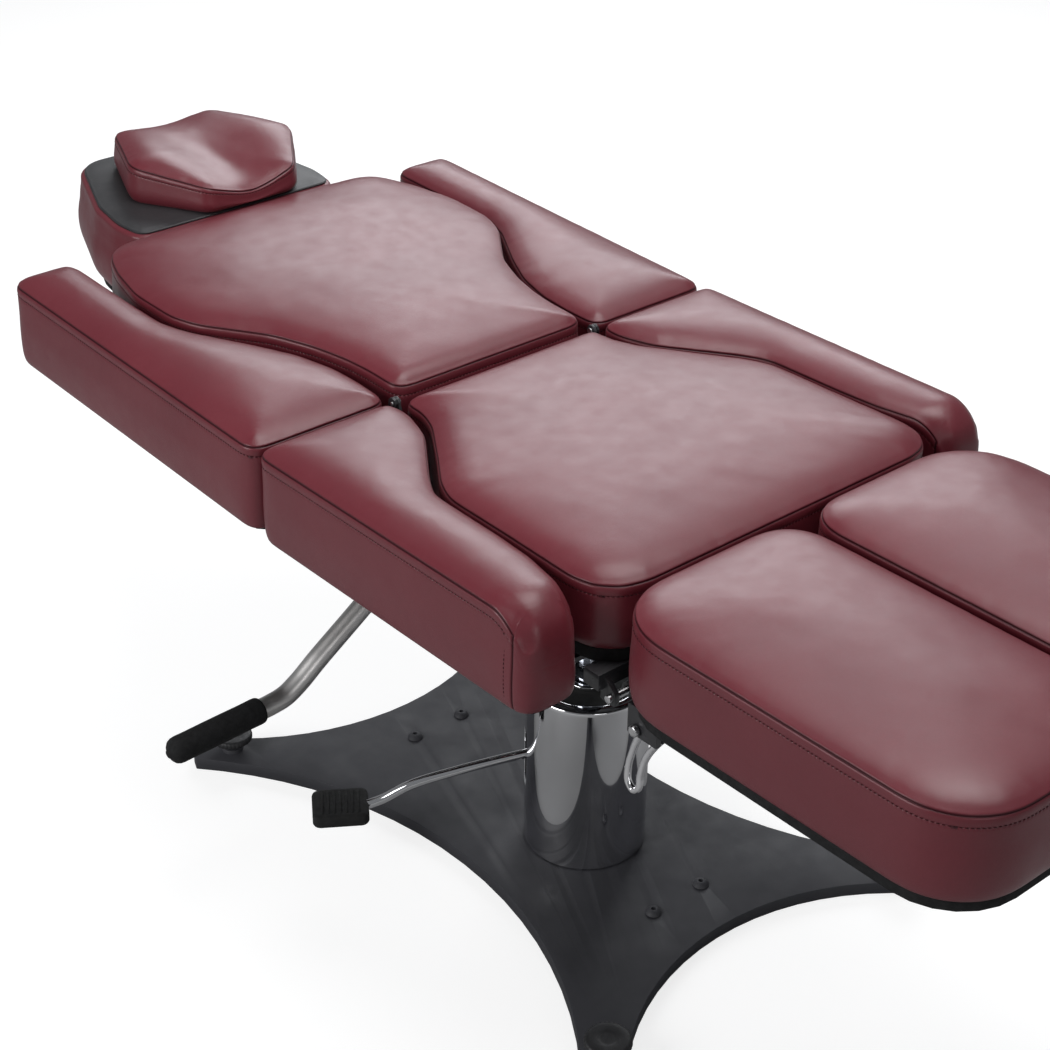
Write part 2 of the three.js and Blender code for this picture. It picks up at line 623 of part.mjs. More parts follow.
function headrestSlider() {
  const knuckle = rounded([
    [614, POST_Z - 7, 0], [648, HEAD_PIVOT_Z - 7, 6], [648, HEAD_PIVOT_Z + 7, 6],
    [626, -124, 0], [614, POST_Z + 7, 0],
  ]);
  const parts = SIDES.flatMap(([, side]) => [
    barY(430, 628, [side * POST_X, POST_Z], 7.6, 14),
    cheek(knuckle, ...span(side, POST_X - 6, POST_X + 6)),
  ]);
  const crossbar = box(-POST_X, POST_X, 615, 625, POST_Z - 6, POST_Z + 6);
  return cut(join(...parts, crossbar), barX(-120, 120, HEAD_PIVOT, HEAD_BORE_R, 12));
}

// bulging block with sloped edges, cropped flat at the foot edge, top and bottom
const headrestBlock = () => common(
  bevelled(headPlan(10), -75, { depth: 50, thickness: 42, size: 10 }),
  box(-300, 300, HEAD_Y0 + 0.5, 1000, -108, HEAD_TOP - 2));

// hinge leaf under the board, with sleeves on the pin
function headrestLeaf() {
  const parts = [box(-60, 60, 636, 760, -125, HEAD_BOTTOM - CLEARANCE)];
  for (const [x0, x1] of [[-60, -30], [30, 60]]) {
    parts.push(barX(x0, x1, HEAD_PIVOT, 8.5, 14), box(x0, x1, 636, 649, -137, -121));
  }
  return cut(join(...parts), barX(-100, 100, HEAD_PIVOT, HEAD_BORE_R, 12));
}

function addHeadrest(back) {
  addMesh(back, "headrest_slider", headrestSlider(), CHROME);
  addMesh(back, "headrest_pin", join(
    barX(-92, 92, HEAD_PIVOT, 4.1, 12), barX(90, 96, HEAD_PIVOT, 8, 6)), STEEL);
  const head = addGroup(back);
  addMesh(head, "headrest_block", headrestBlock(), VINYL);
  addMesh(head, "headrest_panel",
    prism(headPlan(-3), HEAD_TOP - 1.6, HEAD_TOP + 1.5), BLACK_VINYL);
  addMesh(head, "headrest_board", prism(headPlan(-8), HEAD_BOTTOM, -108.4), BOARD);
  addMesh(head, "headrest_leaf", headrestLeaf(), FRAME);
  const pillowPlan = rounded(PILLOW.map(([x, y, radius]) => [x + PILLOW_X, y, radius]));
  addMesh(addGroup(back), "head_pillow",
    bevelled(pillowPlan, HEAD_TOP + 12, { depth: 50, thickness: 10, size: 10 }), VINYL);
}

// ---- leg rests ----
const LEG_REAR = -357; // edge next to the seat
const LEG_END = LEG_REAR - 530;
const LEG_SEAM_Z = 718;
const LEG_IN = 9;
const LEG_OUT = 321;
const LEG_BOTTOM = LEG_SEAM_Z - 110; // underside of the cushion
const LEG_BOARD_T = 15;
const LEG_FRAME_TOP = LEG_BOTTOM - LEG_BOARD_T - CLEARANCE;
const RELEASE_PIVOT = [-395, LEG_PIVOT[1] - 17]; // y, z
// centreline of the release loop: y, and z from its pivot
const RELEASE_PATH = [
  [-395, 0], [-388, -17], [-378, -44], [-371, -74], [-372, -93], [-381, -101],
  [-390, -93], [-392, -73], [-400, -44], [-414, -19], [-424, -5],
];

const legPlan = (side, inset) => rounded(onSide(side, [
  [LEG_IN + inset, LEG_REAR - inset, 60], [LEG_IN + inset, LEG_END + inset, 50],
  [LEG_OUT - inset, LEG_END + inset, 90], [LEG_OUT - inset, LEG_REAR - inset, 95],
]), 6);

function legFrame(side) {
  const top = LEG_FRAME_TOP;
  const low = top - 21;
  const foot = LEG_END + 60;
  const [, pivotZ] = LEG_PIVOT;
  const parts = [];
  for (const [x0, x1] of [[60, 82], [232, 254]]) {
    const rail = span(side, x0, x1);
    parts.push(
      box(...rail, foot, -366, low, top),
      box(...rail, -372, -351, pivotZ - 6, pivotZ + 6),
      barX(side * (x0 - 8), side * (x1 + 8), LEG_PIVOT, 9.5, 14));
  }
  parts.push(
    box(...span(side, 60, 254), -405, -383, low, top),
    box(...span(side, 60, 254), foot, foot + 24, low, top),
    // bracket of the release loop
    box(...span(side, 246, 292), -405, -383, low + 2, top),
    box(...span(side, 284, 292), -428, -380, RELEASE_PIVOT[1] - 9, top));
  return cut(join(...parts),
    barX(-300, 300, LEG_PIVOT, LEG_BORE_R, 14),
    barX(side * 280, side * 296, RELEASE_PIVOT, 4.3, 12));
}

const legRelease = (side) => join(
  bent(RELEASE_PATH.map(([y, z]) => [side * 279, y, RELEASE_PIVOT[1] + z]), 4.6, 12, 6),
  barX(side * 273, side * 295, RELEASE_PIVOT, 4, 12),
  barX(side * 293, side * 299, RELEASE_PIVOT, 7.5, 10));

function addLeg(suffix, side) {
  const leg = addGroup(chair);
  addMesh(leg, `leg_cushion_${suffix}`,
    pad(legPlan(side, 0), LEG_BOTTOM, LEG_SEAM_Z, 19, 22), VINYL);
  addMesh(leg, `leg_board_${suffix}`,
    prism(legPlan(side, 5), LEG_BOTTOM - LEG_BOARD_T, LEG_BOTTOM - CLEARANCE), BOARD);
  addMesh(leg, `leg_frame_${suffix}`, legFrame(side), FRAME);
  addMesh(leg, `leg_release_${suffix}`, legRelease(side), CHROME);
}

addPedestal();
addRam();
addSeat();
addLever();
const back = addBack();
addSpring();
addHeadrest(back);
for (const [suffix, side] of SIDES) addLeg(suffix, side);

export default chair;
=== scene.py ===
"""Looks for the hydraulic treatment chair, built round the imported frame.

The chair lies flat, as a couch. X runs across it with the _r pieces at negative X, the leg
rests are towards -Y, the head is towards +Y, and Z is up from the floor. The back's own frame
starts near the hinge line and is tilted by a little over two degrees.
Sizes are in mm; the scene is in metres. Material, light and camera values are in Blender units.
"""

import bpy, bmesh, json, math
import numpy as np
from mathutils import Vector, Matrix, noise
from mathutils.geometry import delaunay_2d_cdt


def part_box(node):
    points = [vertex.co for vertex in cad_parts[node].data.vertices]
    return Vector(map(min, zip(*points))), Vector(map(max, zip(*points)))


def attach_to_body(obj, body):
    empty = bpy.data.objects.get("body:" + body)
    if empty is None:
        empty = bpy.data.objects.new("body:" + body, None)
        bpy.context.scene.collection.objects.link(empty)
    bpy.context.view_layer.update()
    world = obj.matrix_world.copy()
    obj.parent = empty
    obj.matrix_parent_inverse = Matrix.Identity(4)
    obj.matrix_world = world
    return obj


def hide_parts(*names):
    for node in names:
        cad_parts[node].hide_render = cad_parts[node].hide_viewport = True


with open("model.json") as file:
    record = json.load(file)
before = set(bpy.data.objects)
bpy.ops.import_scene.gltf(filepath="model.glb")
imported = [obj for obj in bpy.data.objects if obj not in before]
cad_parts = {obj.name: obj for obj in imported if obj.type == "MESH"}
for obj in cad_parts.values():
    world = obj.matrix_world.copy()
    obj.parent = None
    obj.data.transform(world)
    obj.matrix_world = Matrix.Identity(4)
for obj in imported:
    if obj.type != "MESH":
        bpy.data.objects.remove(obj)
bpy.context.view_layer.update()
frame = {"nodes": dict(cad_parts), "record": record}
NODES = frame["nodes"]
scene = bpy.context.scene

MM = 0.001
CHAIR_FRAME = Matrix.Identity(4)
BACK_FRAME = (Matrix.Translation((0, 0.201, 0.714))
              @ Matrix.Rotation(math.radians(2.13), 4, "X"))
ALONG_X = Matrix.Rotation(math.pi / 2, 4, "Y")  # lays a turned piece's axis along X
ALONG_Y = Matrix.Rotation(-math.pi / 2, 4, "X")
STITCH_PITCH = 5.6


# ------------------------------------------------------------------ materials
class Shader:
    """A material round one Principled surface, with short ways to make and join its nodes."""

    def __init__(self, name):
        self.material = bpy.data.materials.new(name)
        self.material.use_nodes = True
        self.tree = self.material.node_tree
        self.tree.nodes.clear()
        output = self.node("ShaderNodeOutputMaterial")
        self.surface = self.node("ShaderNodeBsdfPrincipled")
        self.link(self.surface.outputs[0], output.inputs[0])
        self.position = self.node("ShaderNodeTexCoord").outputs["Object"]

    def node(self, kind, **settings):
        node = self.tree.nodes.new(kind)
        for key, value in settings.items():
            setattr(node, key, value)
        return node

    def link(self, output, target):
        self.tree.links.new(output, target)

    def feed(self, output, name):
        self.link(output, self.surface.inputs[name])

    def set(self, **values):
        for key, value in values.items():
            self.surface.inputs[key.replace("_", " ")].default_value = value

    def noise(self, scale, detail=4, roughness=0.55, vector=None, distortion=0.0):
        node = self.node("ShaderNodeTexNoise")
        node.inputs["Scale"].default_value = scale
        node.inputs["Detail"].default_value = detail
        node.inputs["Roughness"].default_value = roughness
        node.inputs["Distortion"].default_value = distortion
        self.link(vector or self.position, node.inputs["Vector"])
        return node.outputs["Fac"]

    def cell_edges(self, scale):
        node = self.node("ShaderNodeTexVoronoi", feature="DISTANCE_TO_EDGE")
        node.inputs["Scale"].default_value = scale
        self.link(self.position, node.inputs["Vector"])
        return node.outputs["Distance"]

    def stretch(self, scale):
        node = self.node("ShaderNodeMapping")
        node.inputs["Scale"].default_value = scale
        self.link(self.position, node.inputs["Vector"])
        return node.outputs[0]

    def ramp(self, factor, low, high):
        node = self.node("ShaderNodeValToRGB")
        for element, color in zip(node.color_ramp.elements, (low, high)):
            element.color = (*color, 1)
        self.link(factor, node.inputs[0])
        return node.outputs[0]

    def remap(self, value, source=(0.3, 0.7), target=(0, 1)):
        node = self.node("ShaderNodeMapRange")
        for i, limit in enumerate((*source, *target), start=1):
            node.inputs[i].default_value = limit
        self.link(value, node.inputs[0])
        return node.outputs[0]

    def tint(self, base, color, amount):
        node = self.node("ShaderNodeMix", data_type="RGBA")
        self.link(amount, node.inputs[0])
        self.link(base, node.inputs[6])
        node.inputs[7].default_value = (*color, 1)
        return node.outputs[2]

    def bump(self, height, strength, distance, over=None):
        node = self.node("ShaderNodeBump")
        node.inputs["Strength"].default_value = strength
        node.inputs["Distance"].default_value = distance
        self.link(height, node.inputs["Height"])
        if over is not None:
            self.link(over, node.inputs["Normal"])
        return node.outputs[0]

    def math(self, operation, value, other=None):
        node = self.node("ShaderNodeMath", operation=operation)
        self.link(value, node.inputs[0])
        if isinstance(other, float):
            node.inputs[1].default_value = other
        elif other is not None:
            self.link(other, node.inputs[1])
        return node.outputs[0]

    def attribute(self, name):
        return self.node("ShaderNodeAttribute", attribute_name=name).outputs["Fac"]


def vinyl(name, deep, light, roughness, seam_shade_color):
    """Grained upholstery vinyl with painted shade darkening the seam groove, and a dip at each
    needle hole.
    """
    shader = Shader(name)
    base = shader.ramp(shader.remap(shader.noise(scale=5.5, detail=3, roughness=0.5)), deep, light)
    fine = shader.noise(scale=160, detail=3, roughness=0.6)
    base = shader.tint(base, color=tuple(0.72 * c for c in deep),
                       amount=shader.remap(fine, source=(0.35, 0.7), target=(0.0, 0.16)))
    # painted shade: the seam weight darkens the cover towards the seam colour in the groove, and
    # the specular level drops there too
    seam = shader.attribute("seam")
    shader.feed(shader.tint(base, color=seam_shade_color, amount=seam), "Base Color")
    shader.feed(shader.remap(shader.noise(scale=38), target=(roughness - 0.035, roughness + 0.06)),
                "Roughness")

    soft = shader.noise(scale=13, detail=5, roughness=0.6, distortion=0.6,
                        vector=shader.stretch((1.0, 0.75, 1.0)))
    wrinkle = shader.noise(scale=60, roughness=0.65, distortion=1.4,
                           vector=shader.stretch((0.55, 1.0, 1.0)))
    pebble = shader.remap(shader.cell_edges(scale=900), source=(0, 0.25))
    normal = shader.bump(soft, strength=0.06, distance=0.0018)
    normal = shader.bump(wrinkle, strength=0.10, distance=0.0006, over=normal)
    normal = shader.bump(pebble, strength=0.20, distance=0.00025, over=normal)
    normal = shader.bump(shader.noise(scale=1500, detail=2), strength=0.12, distance=0.0002,
                         over=normal)
    # needle holes pull the cover in between one stitch and the next
    wave = shader.math("COSINE",
                       shader.math("MULTIPLY", shader.attribute("stitch_count"), 2 * math.pi))
    dip = shader.math("MULTIPLY", shader.remap(wave, source=(-1, 1), target=(0, -1)),
                      shader.remap(shader.attribute("stitch_band"), source=(0.45, 1.0)))
    shader.feed(shader.bump(dip, strength=0.9, distance=0.0011, over=normal), "Normal")
    shader.feed(shader.remap(seam, source=(0, 1), target=(0.56, 0.12)), "Specular IOR Level")
    shader.set(Coat_Weight=0.08, Coat_Roughness=0.2, Sheen_Weight=0.03, Sheen_Roughness=0.4)
    return shader.material


def finish(name, color, roughness, variation, patches, grain=(), metallic=0.0, specular=0.5,
           coat=0.0, brushed=None, roughness_spread=0.08, edge_highlight=None):
    """A plain surface finish.

    variation is how far the colour strays, patches the noise scale it strays at, and grain its
    bumps, each (noise scale, strength, distance). brushed stretches the noise into fine lines,
    and the edge colour is a painted highlight laid on sharp outer edges.
    """
    shader = Shader(name)
    low = tuple(c * (1 - variation) for c in color)
    high = tuple(c * (1 + variation * 0.6) for c in color)
    base = shader.ramp(shader.remap(shader.noise(patches), source=(0.32, 0.68)), low, high)
    if edge_highlight is not None:
        # painted highlight: sharp convex edges are tinted lighter, standing in for light caught on
        # them
        pointiness = shader.node("ShaderNodeNewGeometry").outputs["Pointiness"]
        edge = shader.remap(pointiness, source=(0.54, 0.62), target=(0.0, 0.75))
        base = shader.tint(base, color=edge_highlight, amount=edge)
    shader.feed(base, "Base Color")
    normal = None
    if brushed:
        streaks = shader.noise(scale=1.0, detail=6, roughness=0.7, vector=shader.stretch(brushed))
        normal = shader.bump(streaks, strength=0.12, distance=0.00012)
    else:
        streaks = shader.noise(patches * 2.3)
    shader.feed(shader.remap(streaks, target=(roughness - roughness_spread,
                                              roughness + roughness_spread)), "Roughness")
    for scale, strength, distance in grain:
        normal = shader.bump(shader.noise(scale, detail=3), strength, distance, over=normal)
    shader.feed(normal, "Normal")
    shader.set(Metallic=metallic, Specular_IOR_Level=specular, Coat_Weight=coat)
    return shader.material


# the seam colours are painted shade in the seam grooves
VINYL = vinyl("vinyl_burgundy", deep=(0.146, 0.018, 0.028), light=(0.172, 0.025, 0.036),
              roughness=0.33, seam_shade_color=(0.030, 0.003, 0.006))
BLACK = vinyl("vinyl_black", deep=(0.018, 0.018, 0.020), light=(0.026, 0.026, 0.029),
              roughness=0.52, seam_shade_color=(0.004, 0.004, 0.004))
# the edge colours of the powder coat and enamel are painted highlights on their sharp edges
POWDER = finish("powder_coat", color=(0.052, 0.052, 0.060), roughness=0.60, variation=0.05,
                patches=9, grain=((1400, 0.45, 0.0004), (420, 0.25, 0.0004)),
                edge_highlight=(0.12, 0.12, 0.13))
ENAMEL = finish("black_enamel", color=(0.022, 0.022, 0.025), roughness=0.34, variation=0.2,
                patches=30, grain=((700, 0.18, 0.0003), (90, 0.1, 0.0006)), coat=0.15,
                edge_highlight=(0.07, 0.07, 0.075))
CHROME = finish("chrome", color=(0.88, 0.88, 0.90), roughness=0.045, variation=0.04, patches=12,
                grain=((60, 0.015, 0.0004),), metallic=1.0, roughness_spread=0.02)
STEEL = finish("steel_zinc", color=(0.60, 0.60, 0.61), roughness=0.27, variation=0.12, patches=80,
               grain=((900, 0.15, 0.0002),), metallic=1.0)
BRUSHED = finish("brushed_stainless", color=(0.90, 0.88, 0.86), roughness=0.40, variation=0.14,
                 patches=18, metallic=1.0, brushed=(26, 900, 900), roughness_spread=0.10)
RAM = finish("ground_steel", color=(0.36, 0.38, 0.42), roughness=0.15, variation=0.12, patches=20,
             metallic=1.0, brushed=(300, 300, 900), roughness_spread=0.05)
BOARD = finish("backing_cloth", color=(0.020, 0.020, 0.021), roughness=0.88, variation=0.3,
               patches=90, grain=((2400, 0.6, 0.0005), (300, 0.3, 0.0008)), specular=0.25)
FOAM = finish("foam_grip", color=(0.014, 0.014, 0.015), roughness=0.80, variation=0.3,
              patches=120, grain=((2600, 0.7, 0.0005), (800, 0.3, 0.0004)), specular=0.3)
RUBBER = finish("rubber", color=(0.020, 0.020, 0.020), roughness=0.72, variation=0.25, patches=70,
                grain=((1500, 0.4, 0.0003),), specular=0.35)
PLASTIC = finish("moulded_plastic", color=(0.028, 0.028, 0.030), roughness=0.46, variation=0.2,
                 patches=60, grain=((1800, 0.35, 0.0003),))
# the seams use the first thread; the light and black ones are spare colours
THREAD, *_ = [
    finish(name, color=color, roughness=roughness, variation=0.3, patches=900,
           grain=((3000, 0.5, 0.0002),), specular=specular)
    for name, color, roughness, specular in (
        ("thread", (0.030, 0.006, 0.008), 0.75, 0.25),
        ("thread_light", (0.17, 0.05, 0.06), 0.6, 0.3),
        ("thread_black", (0.008, 0.008, 0.008), 0.75, 0.25))]

FINISH = {"vinyl": VINYL, "black_vinyl": BLACK, "board": BOARD, "powder_coat": POWDER,
          "frame_paint": ENAMEL, "chrome": CHROME, "steel": STEEL, "ram_steel": RAM,
          "foam": FOAM, "rubber": RUBBER, "plastic": PLASTIC}


# ------------------------------------------------------------------ mesh helpers
def edit_mesh(mesh, change):
    bm = bmesh.new()
    bm.from_mesh(mesh)
    change(bm)
    bm.to_mesh(mesh)
    bm.free()


def mesh_object(name, verts, faces, material, matrix=CHAIR_FRAME, attributes=None):
    """A smooth object from vertices in mm, placed by matrix, with its faces turned outward."""
    mesh = bpy.data.meshes.new(name)
    mesh.from_pydata([tuple(v) for v in np.asarray(verts, float) * MM], [], faces)
    mesh.transform(matrix)
    for key, values in (attributes or {}).items():
        layer = mesh.attributes.new(key, "FLOAT", "POINT")
        layer.data.foreach_set("value", np.asarray(values, np.float32))
    mesh.validate()
    mesh.polygons.foreach_set("use_smooth", [True] * len(mesh.polygons))
    mesh.materials.append(material)
    obj = bpy.data.objects.new(name, mesh)
    scene.collection.objects.link(obj)
    edit_mesh(mesh, lambda bm: bmesh.ops.recalc_face_normals(bm, faces=bm.faces))
    return obj


def attach(obj, body, replaces=None):
    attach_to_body(obj, body)
    if replaces:
        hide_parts(replaces)


def subdivide(obj):
    modifier = obj.modifiers.new("subdivision", "SUBSURF")
    modifier.levels = modifier.render_levels = 1


def sharpen(obj, angle):
    """Keeps edges crisp where two faces meet at more than the angle."""
    def mark(bm):
        for edge in bm.edges:
            if len(edge.link_faces) == 2:
                edge.smooth = edge.calc_face_angle(0) < math.radians(angle)
    edit_mesh(obj.data, mark)


def ring_faces(lower, upper, count):
    """Quads between two closed rings of vertices, given the first index of each."""
    return [[lower + k, lower + (k + 1) % count, upper + (k + 1) % count, upper + k]
            for k in range(count)]


def smoothstep(x, a, b):
    t = np.clip((x - a) / (b - a), 0, 1)
    return t * t * (3 - 2 * t)


# ------------------------------------------------------------------ outlines
def area(loop):
    x, y = loop[:, 0], loop[:, 1]
    return 0.5 * float(np.sum(x * np.roll(y, -1) - np.roll(x, -1) * y))


def slice_loop(node, z, inverse):
    """Largest outline, counter-clockwise, of a CAD node cut by the plane z of a local frame."""
    bm = bmesh.new()
    bm.from_mesh(NODES[node].data)
    bmesh.ops.transform(bm, matrix=inverse, verts=bm.verts)
    bmesh.ops.remove_doubles(bm, verts=bm.verts, dist=1e-6)
    cut = bmesh.ops.bisect_plane(bm, geom=bm.verts[:] + bm.edges[:] + bm.faces[:],
                                 plane_co=(0, 0, z * MM), plane_no=(0, 0, 1))
    near = {}
    for edge in cut["geom_cut"]:
        if isinstance(edge, bmesh.types.BMEdge):
            for a, b in (edge.verts, reversed(edge.verts)):
                near.setdefault(a, []).append(b)
    loops, seen = [], set()
    for start in near:
        if start in seen:
            continue
        loop, current, previous = [], start, None
        while current is not None and current not in seen:
            seen.add(current)
            loop.append((current.co.x / MM, current.co.y / MM))
            ahead = [v for v in near[current] if v is not previous and v not in seen]
            previous, current = current, (ahead[0] if ahead else None)
        loops.append(np.array(loop))
    bm.free()
    loops.sort(key=lambda l: -abs(area(l)))
    loop = loops[0]
    # drop points that lie on top of the one before
    loop = np.array([loop[i] for i in range(len(loop))
                     if np.hypot(*(loop[i] - loop[i - 1])) >= 0.05])
    return loop if area(loop) > 0 else loop[::-1]


def arc_lengths(loop):
    """Distance along a closed outline to each point, and back to the first."""
    return np.concatenate([[0], np.cumsum(np.hypot(*(np.roll(loop, -1, 0) - loop).T))])


def even(loop, step):
    """The same closed outline with points spaced evenly."""
    arc = arc_lengths(loop)
    count = max(12, int(round(arc[-1] / step)))
    t = np.linspace(0, arc[-1], count, endpoint=False)
    return np.stack([np.interp(t, arc, np.append(loop[:, i], loop[0, i])) for i in (0, 1)], 1)


def outline(node, z, matrix=CHAIR_FRAME, step=7.0, rounds=3):
    """Plan of a CAD node, evenly spaced, smoothed to take the facets off its curves."""
    loop = even(slice_loop(node, z, matrix.inverted()), step / 2)
    for _ in range(rounds * 4):
        loop = loop * 0.5 + (np.roll(loop, 1, 0) + np.roll(loop, -1, 0)) * 0.25
    return even(loop, step)


def inward(loop):
    tangent = np.roll(loop, -1, 0) - np.roll(loop, 1, 0)
    tangent /= np.maximum(np.hypot(*tangent.T)[:, None], 1e-9)
    return np.stack([-tangent[:, 1], tangent[:, 0]], 1)  # counter-clockwise: left is inside


def outline_distance(points, loop, mask=None):
    """Distance from each point to the closed outline, or to its segments where mask is true."""
    a, b = loop, np.roll(loop, -1, 0)
    if mask is not None:
        use = mask & np.roll(mask, -1)
        a, b = a[use], b[use]
    best = np.full(len(points), 1e9)
    ab = b - a
    squared = np.maximum((ab ** 2).sum(1), 1e-9)
    chunk = 2000  # keeps the distance table small
    for i in range(0, len(points), chunk):
        p = points[i:i + chunk][:, None, :]
        t = np.clip(((p - a) * ab).sum(2) / squared, 0, 1)
        gap = p - (a + ab * t[..., None])
        best[i:i + chunk] = np.sqrt((gap ** 2).sum(2)).min(1)
    return best


def inside(points, loop):
    x, y = points[:, 0], points[:, 1]
    result = np.zeros(len(points), bool)
    for i in range(len(loop)):
        x1, y1 = loop[i - 1]
        x2, y2 = loop[i]
        if y1 == y2:
            continue
        spans = (y1 > y) != (y2 > y)
        result ^= spans & (x < (x2 - x1) * (y - y1) / (y2 - y1) + x1)
    return result


def fill(loop, extra=()):
    """Triangles that fill the outline through the extra points, indexed over loop then extra."""
    points = [Vector(map(float, p)) for p in [*loop, *extra]]
    count = len(loop)
    border = [(i, (i + 1) % count) for i in range(count)]
    _, _, found, origins, _, _ = delaunay_2d_cdt(points, border, [list(range(count))], 1, 1e-4,
                                                 True)
    source = [o[0] if o else -1 for o in origins]
    faces = [[source[i] for i in f] for f in found]
    faces = [f for f in faces if -1 not in f and len(set(f)) == len(f)]
    flat = np.array([(p.x, p.y) for p in points])
    within = inside(np.array([flat[f].mean(0) for f in faces]), loop)
    corners = flat[np.array(faces)]
    u, v = corners[:, 1] - corners[:, 0], corners[:, 2] - corners[:, 0]
    size = np.abs(u[:, 0] * v[:, 1] - v[:, 0] * u[:, 1])
    # spread from the largest triangle inside, never across the outline
    wall = {frozenset(pair) for pair in border}
    near = {}
    for i, f in enumerate(faces):
        for j in range(3):
            near.setdefault(frozenset((f[j], f[(j + 1) % 3])), []).append(i)
    start = int(np.argmax(np.where(within, size, -1)))
    reached, queue = {start}, [start]
    while queue:
        f = faces[queue.pop()]
        for j in range(3):
            edge = frozenset((f[j], f[(j + 1) % 3]))
            if edge in wall:
                continue
            for other in near[edge]:
                if other not in reached:
                    reached.add(other)
                    queue.append(other)
    return [faces[i] for i in sorted(reached)]


# ------------------------------------------------------------------ upholstery
def inflate(name, verts, faces, pins, cap, pressure, calm):
    """Blows a sewn cover up over its foam with the cloth solver, seams held.

    calm is how many times the movement is smoothed and cap its largest size in mm.
    """
    mesh = bpy.data.meshes.new("cloth_" + name)
    mesh.from_pydata([tuple(v) for v in np.asarray(verts, float) * MM], [], faces)
    obj = bpy.data.objects.new("cloth_" + name, mesh)
    scene.collection.objects.link(obj)
    group = obj.vertex_groups.new(name="pin")
    for i, pin in enumerate(pins):
        if pin > 0:
            group.add([i], float(pin), "REPLACE")
    cloth = obj.modifiers.new("cloth", "CLOTH")
    settings = cloth.settings
    settings.quality = 4
    settings.mass = 0.25
    # a firm cover that barely stretches but bends easily
    settings.tension_stiffness = settings.compression_stiffness = 22
    settings.shear_stiffness = 12
    settings.bending_stiffness = 1.2
    # heavy damping, so that it settles within the few frames run
    settings.tension_damping = settings.compression_damping = settings.shear_damping = 8
    settings.bending_damping = 0.8
    settings.air_damping = 2.0
    settings.use_pressure = True
    settings.uniform_pressure_force = pressure
    settings.vertex_group_mass = "pin"
    settings.pin_stiffness = 4
    settings.effector_weights.gravity = 0
    cloth.collision_settings.use_collision = False
    frames = 16
    cloth.point_cache.frame_start = 1
    cloth.point_cache.frame_end = frames
    for i in range(1, frames + 1):
        scene.frame_set(i)
    result = obj.evaluated_get(bpy.context.evaluated_depsgraph_get())
    settled = np.empty(len(verts) * 3, np.float32)
    result.data.vertices.foreach_get("co", settled)
    settled = settled.reshape(-1, 3).astype(float) / MM
    scene.frame_set(1)
    bpy.data.objects.remove(obj)
    move = settled - verts
    if not np.isfinite(move).all():  # the solver blew up: keep the built shape
        return verts
    pairs = np.array(sorted({tuple(sorted((f[j], f[(j + 1) % len(f)])))
                             for f in faces for j in range(len(f))}))
    neighbours = np.bincount(pairs.ravel(), minlength=len(verts))[:, None]
    free = (1 - pins)[:, None]
    for _ in range(calm):
        total = np.zeros_like(move)
        np.add.at(total, pairs[:, 0], move[pairs[:, 1]])
        np.add.at(total, pairs[:, 1], move[pairs[:, 0]])
        move = move * (1 - 0.5 * free) + 0.5 * free * total / np.maximum(neighbours, 1)
    largest = float(np.percentile(np.linalg.norm(move, axis=1), 99.5))
    return verts + move * (cap / largest if largest > cap else 1.0)


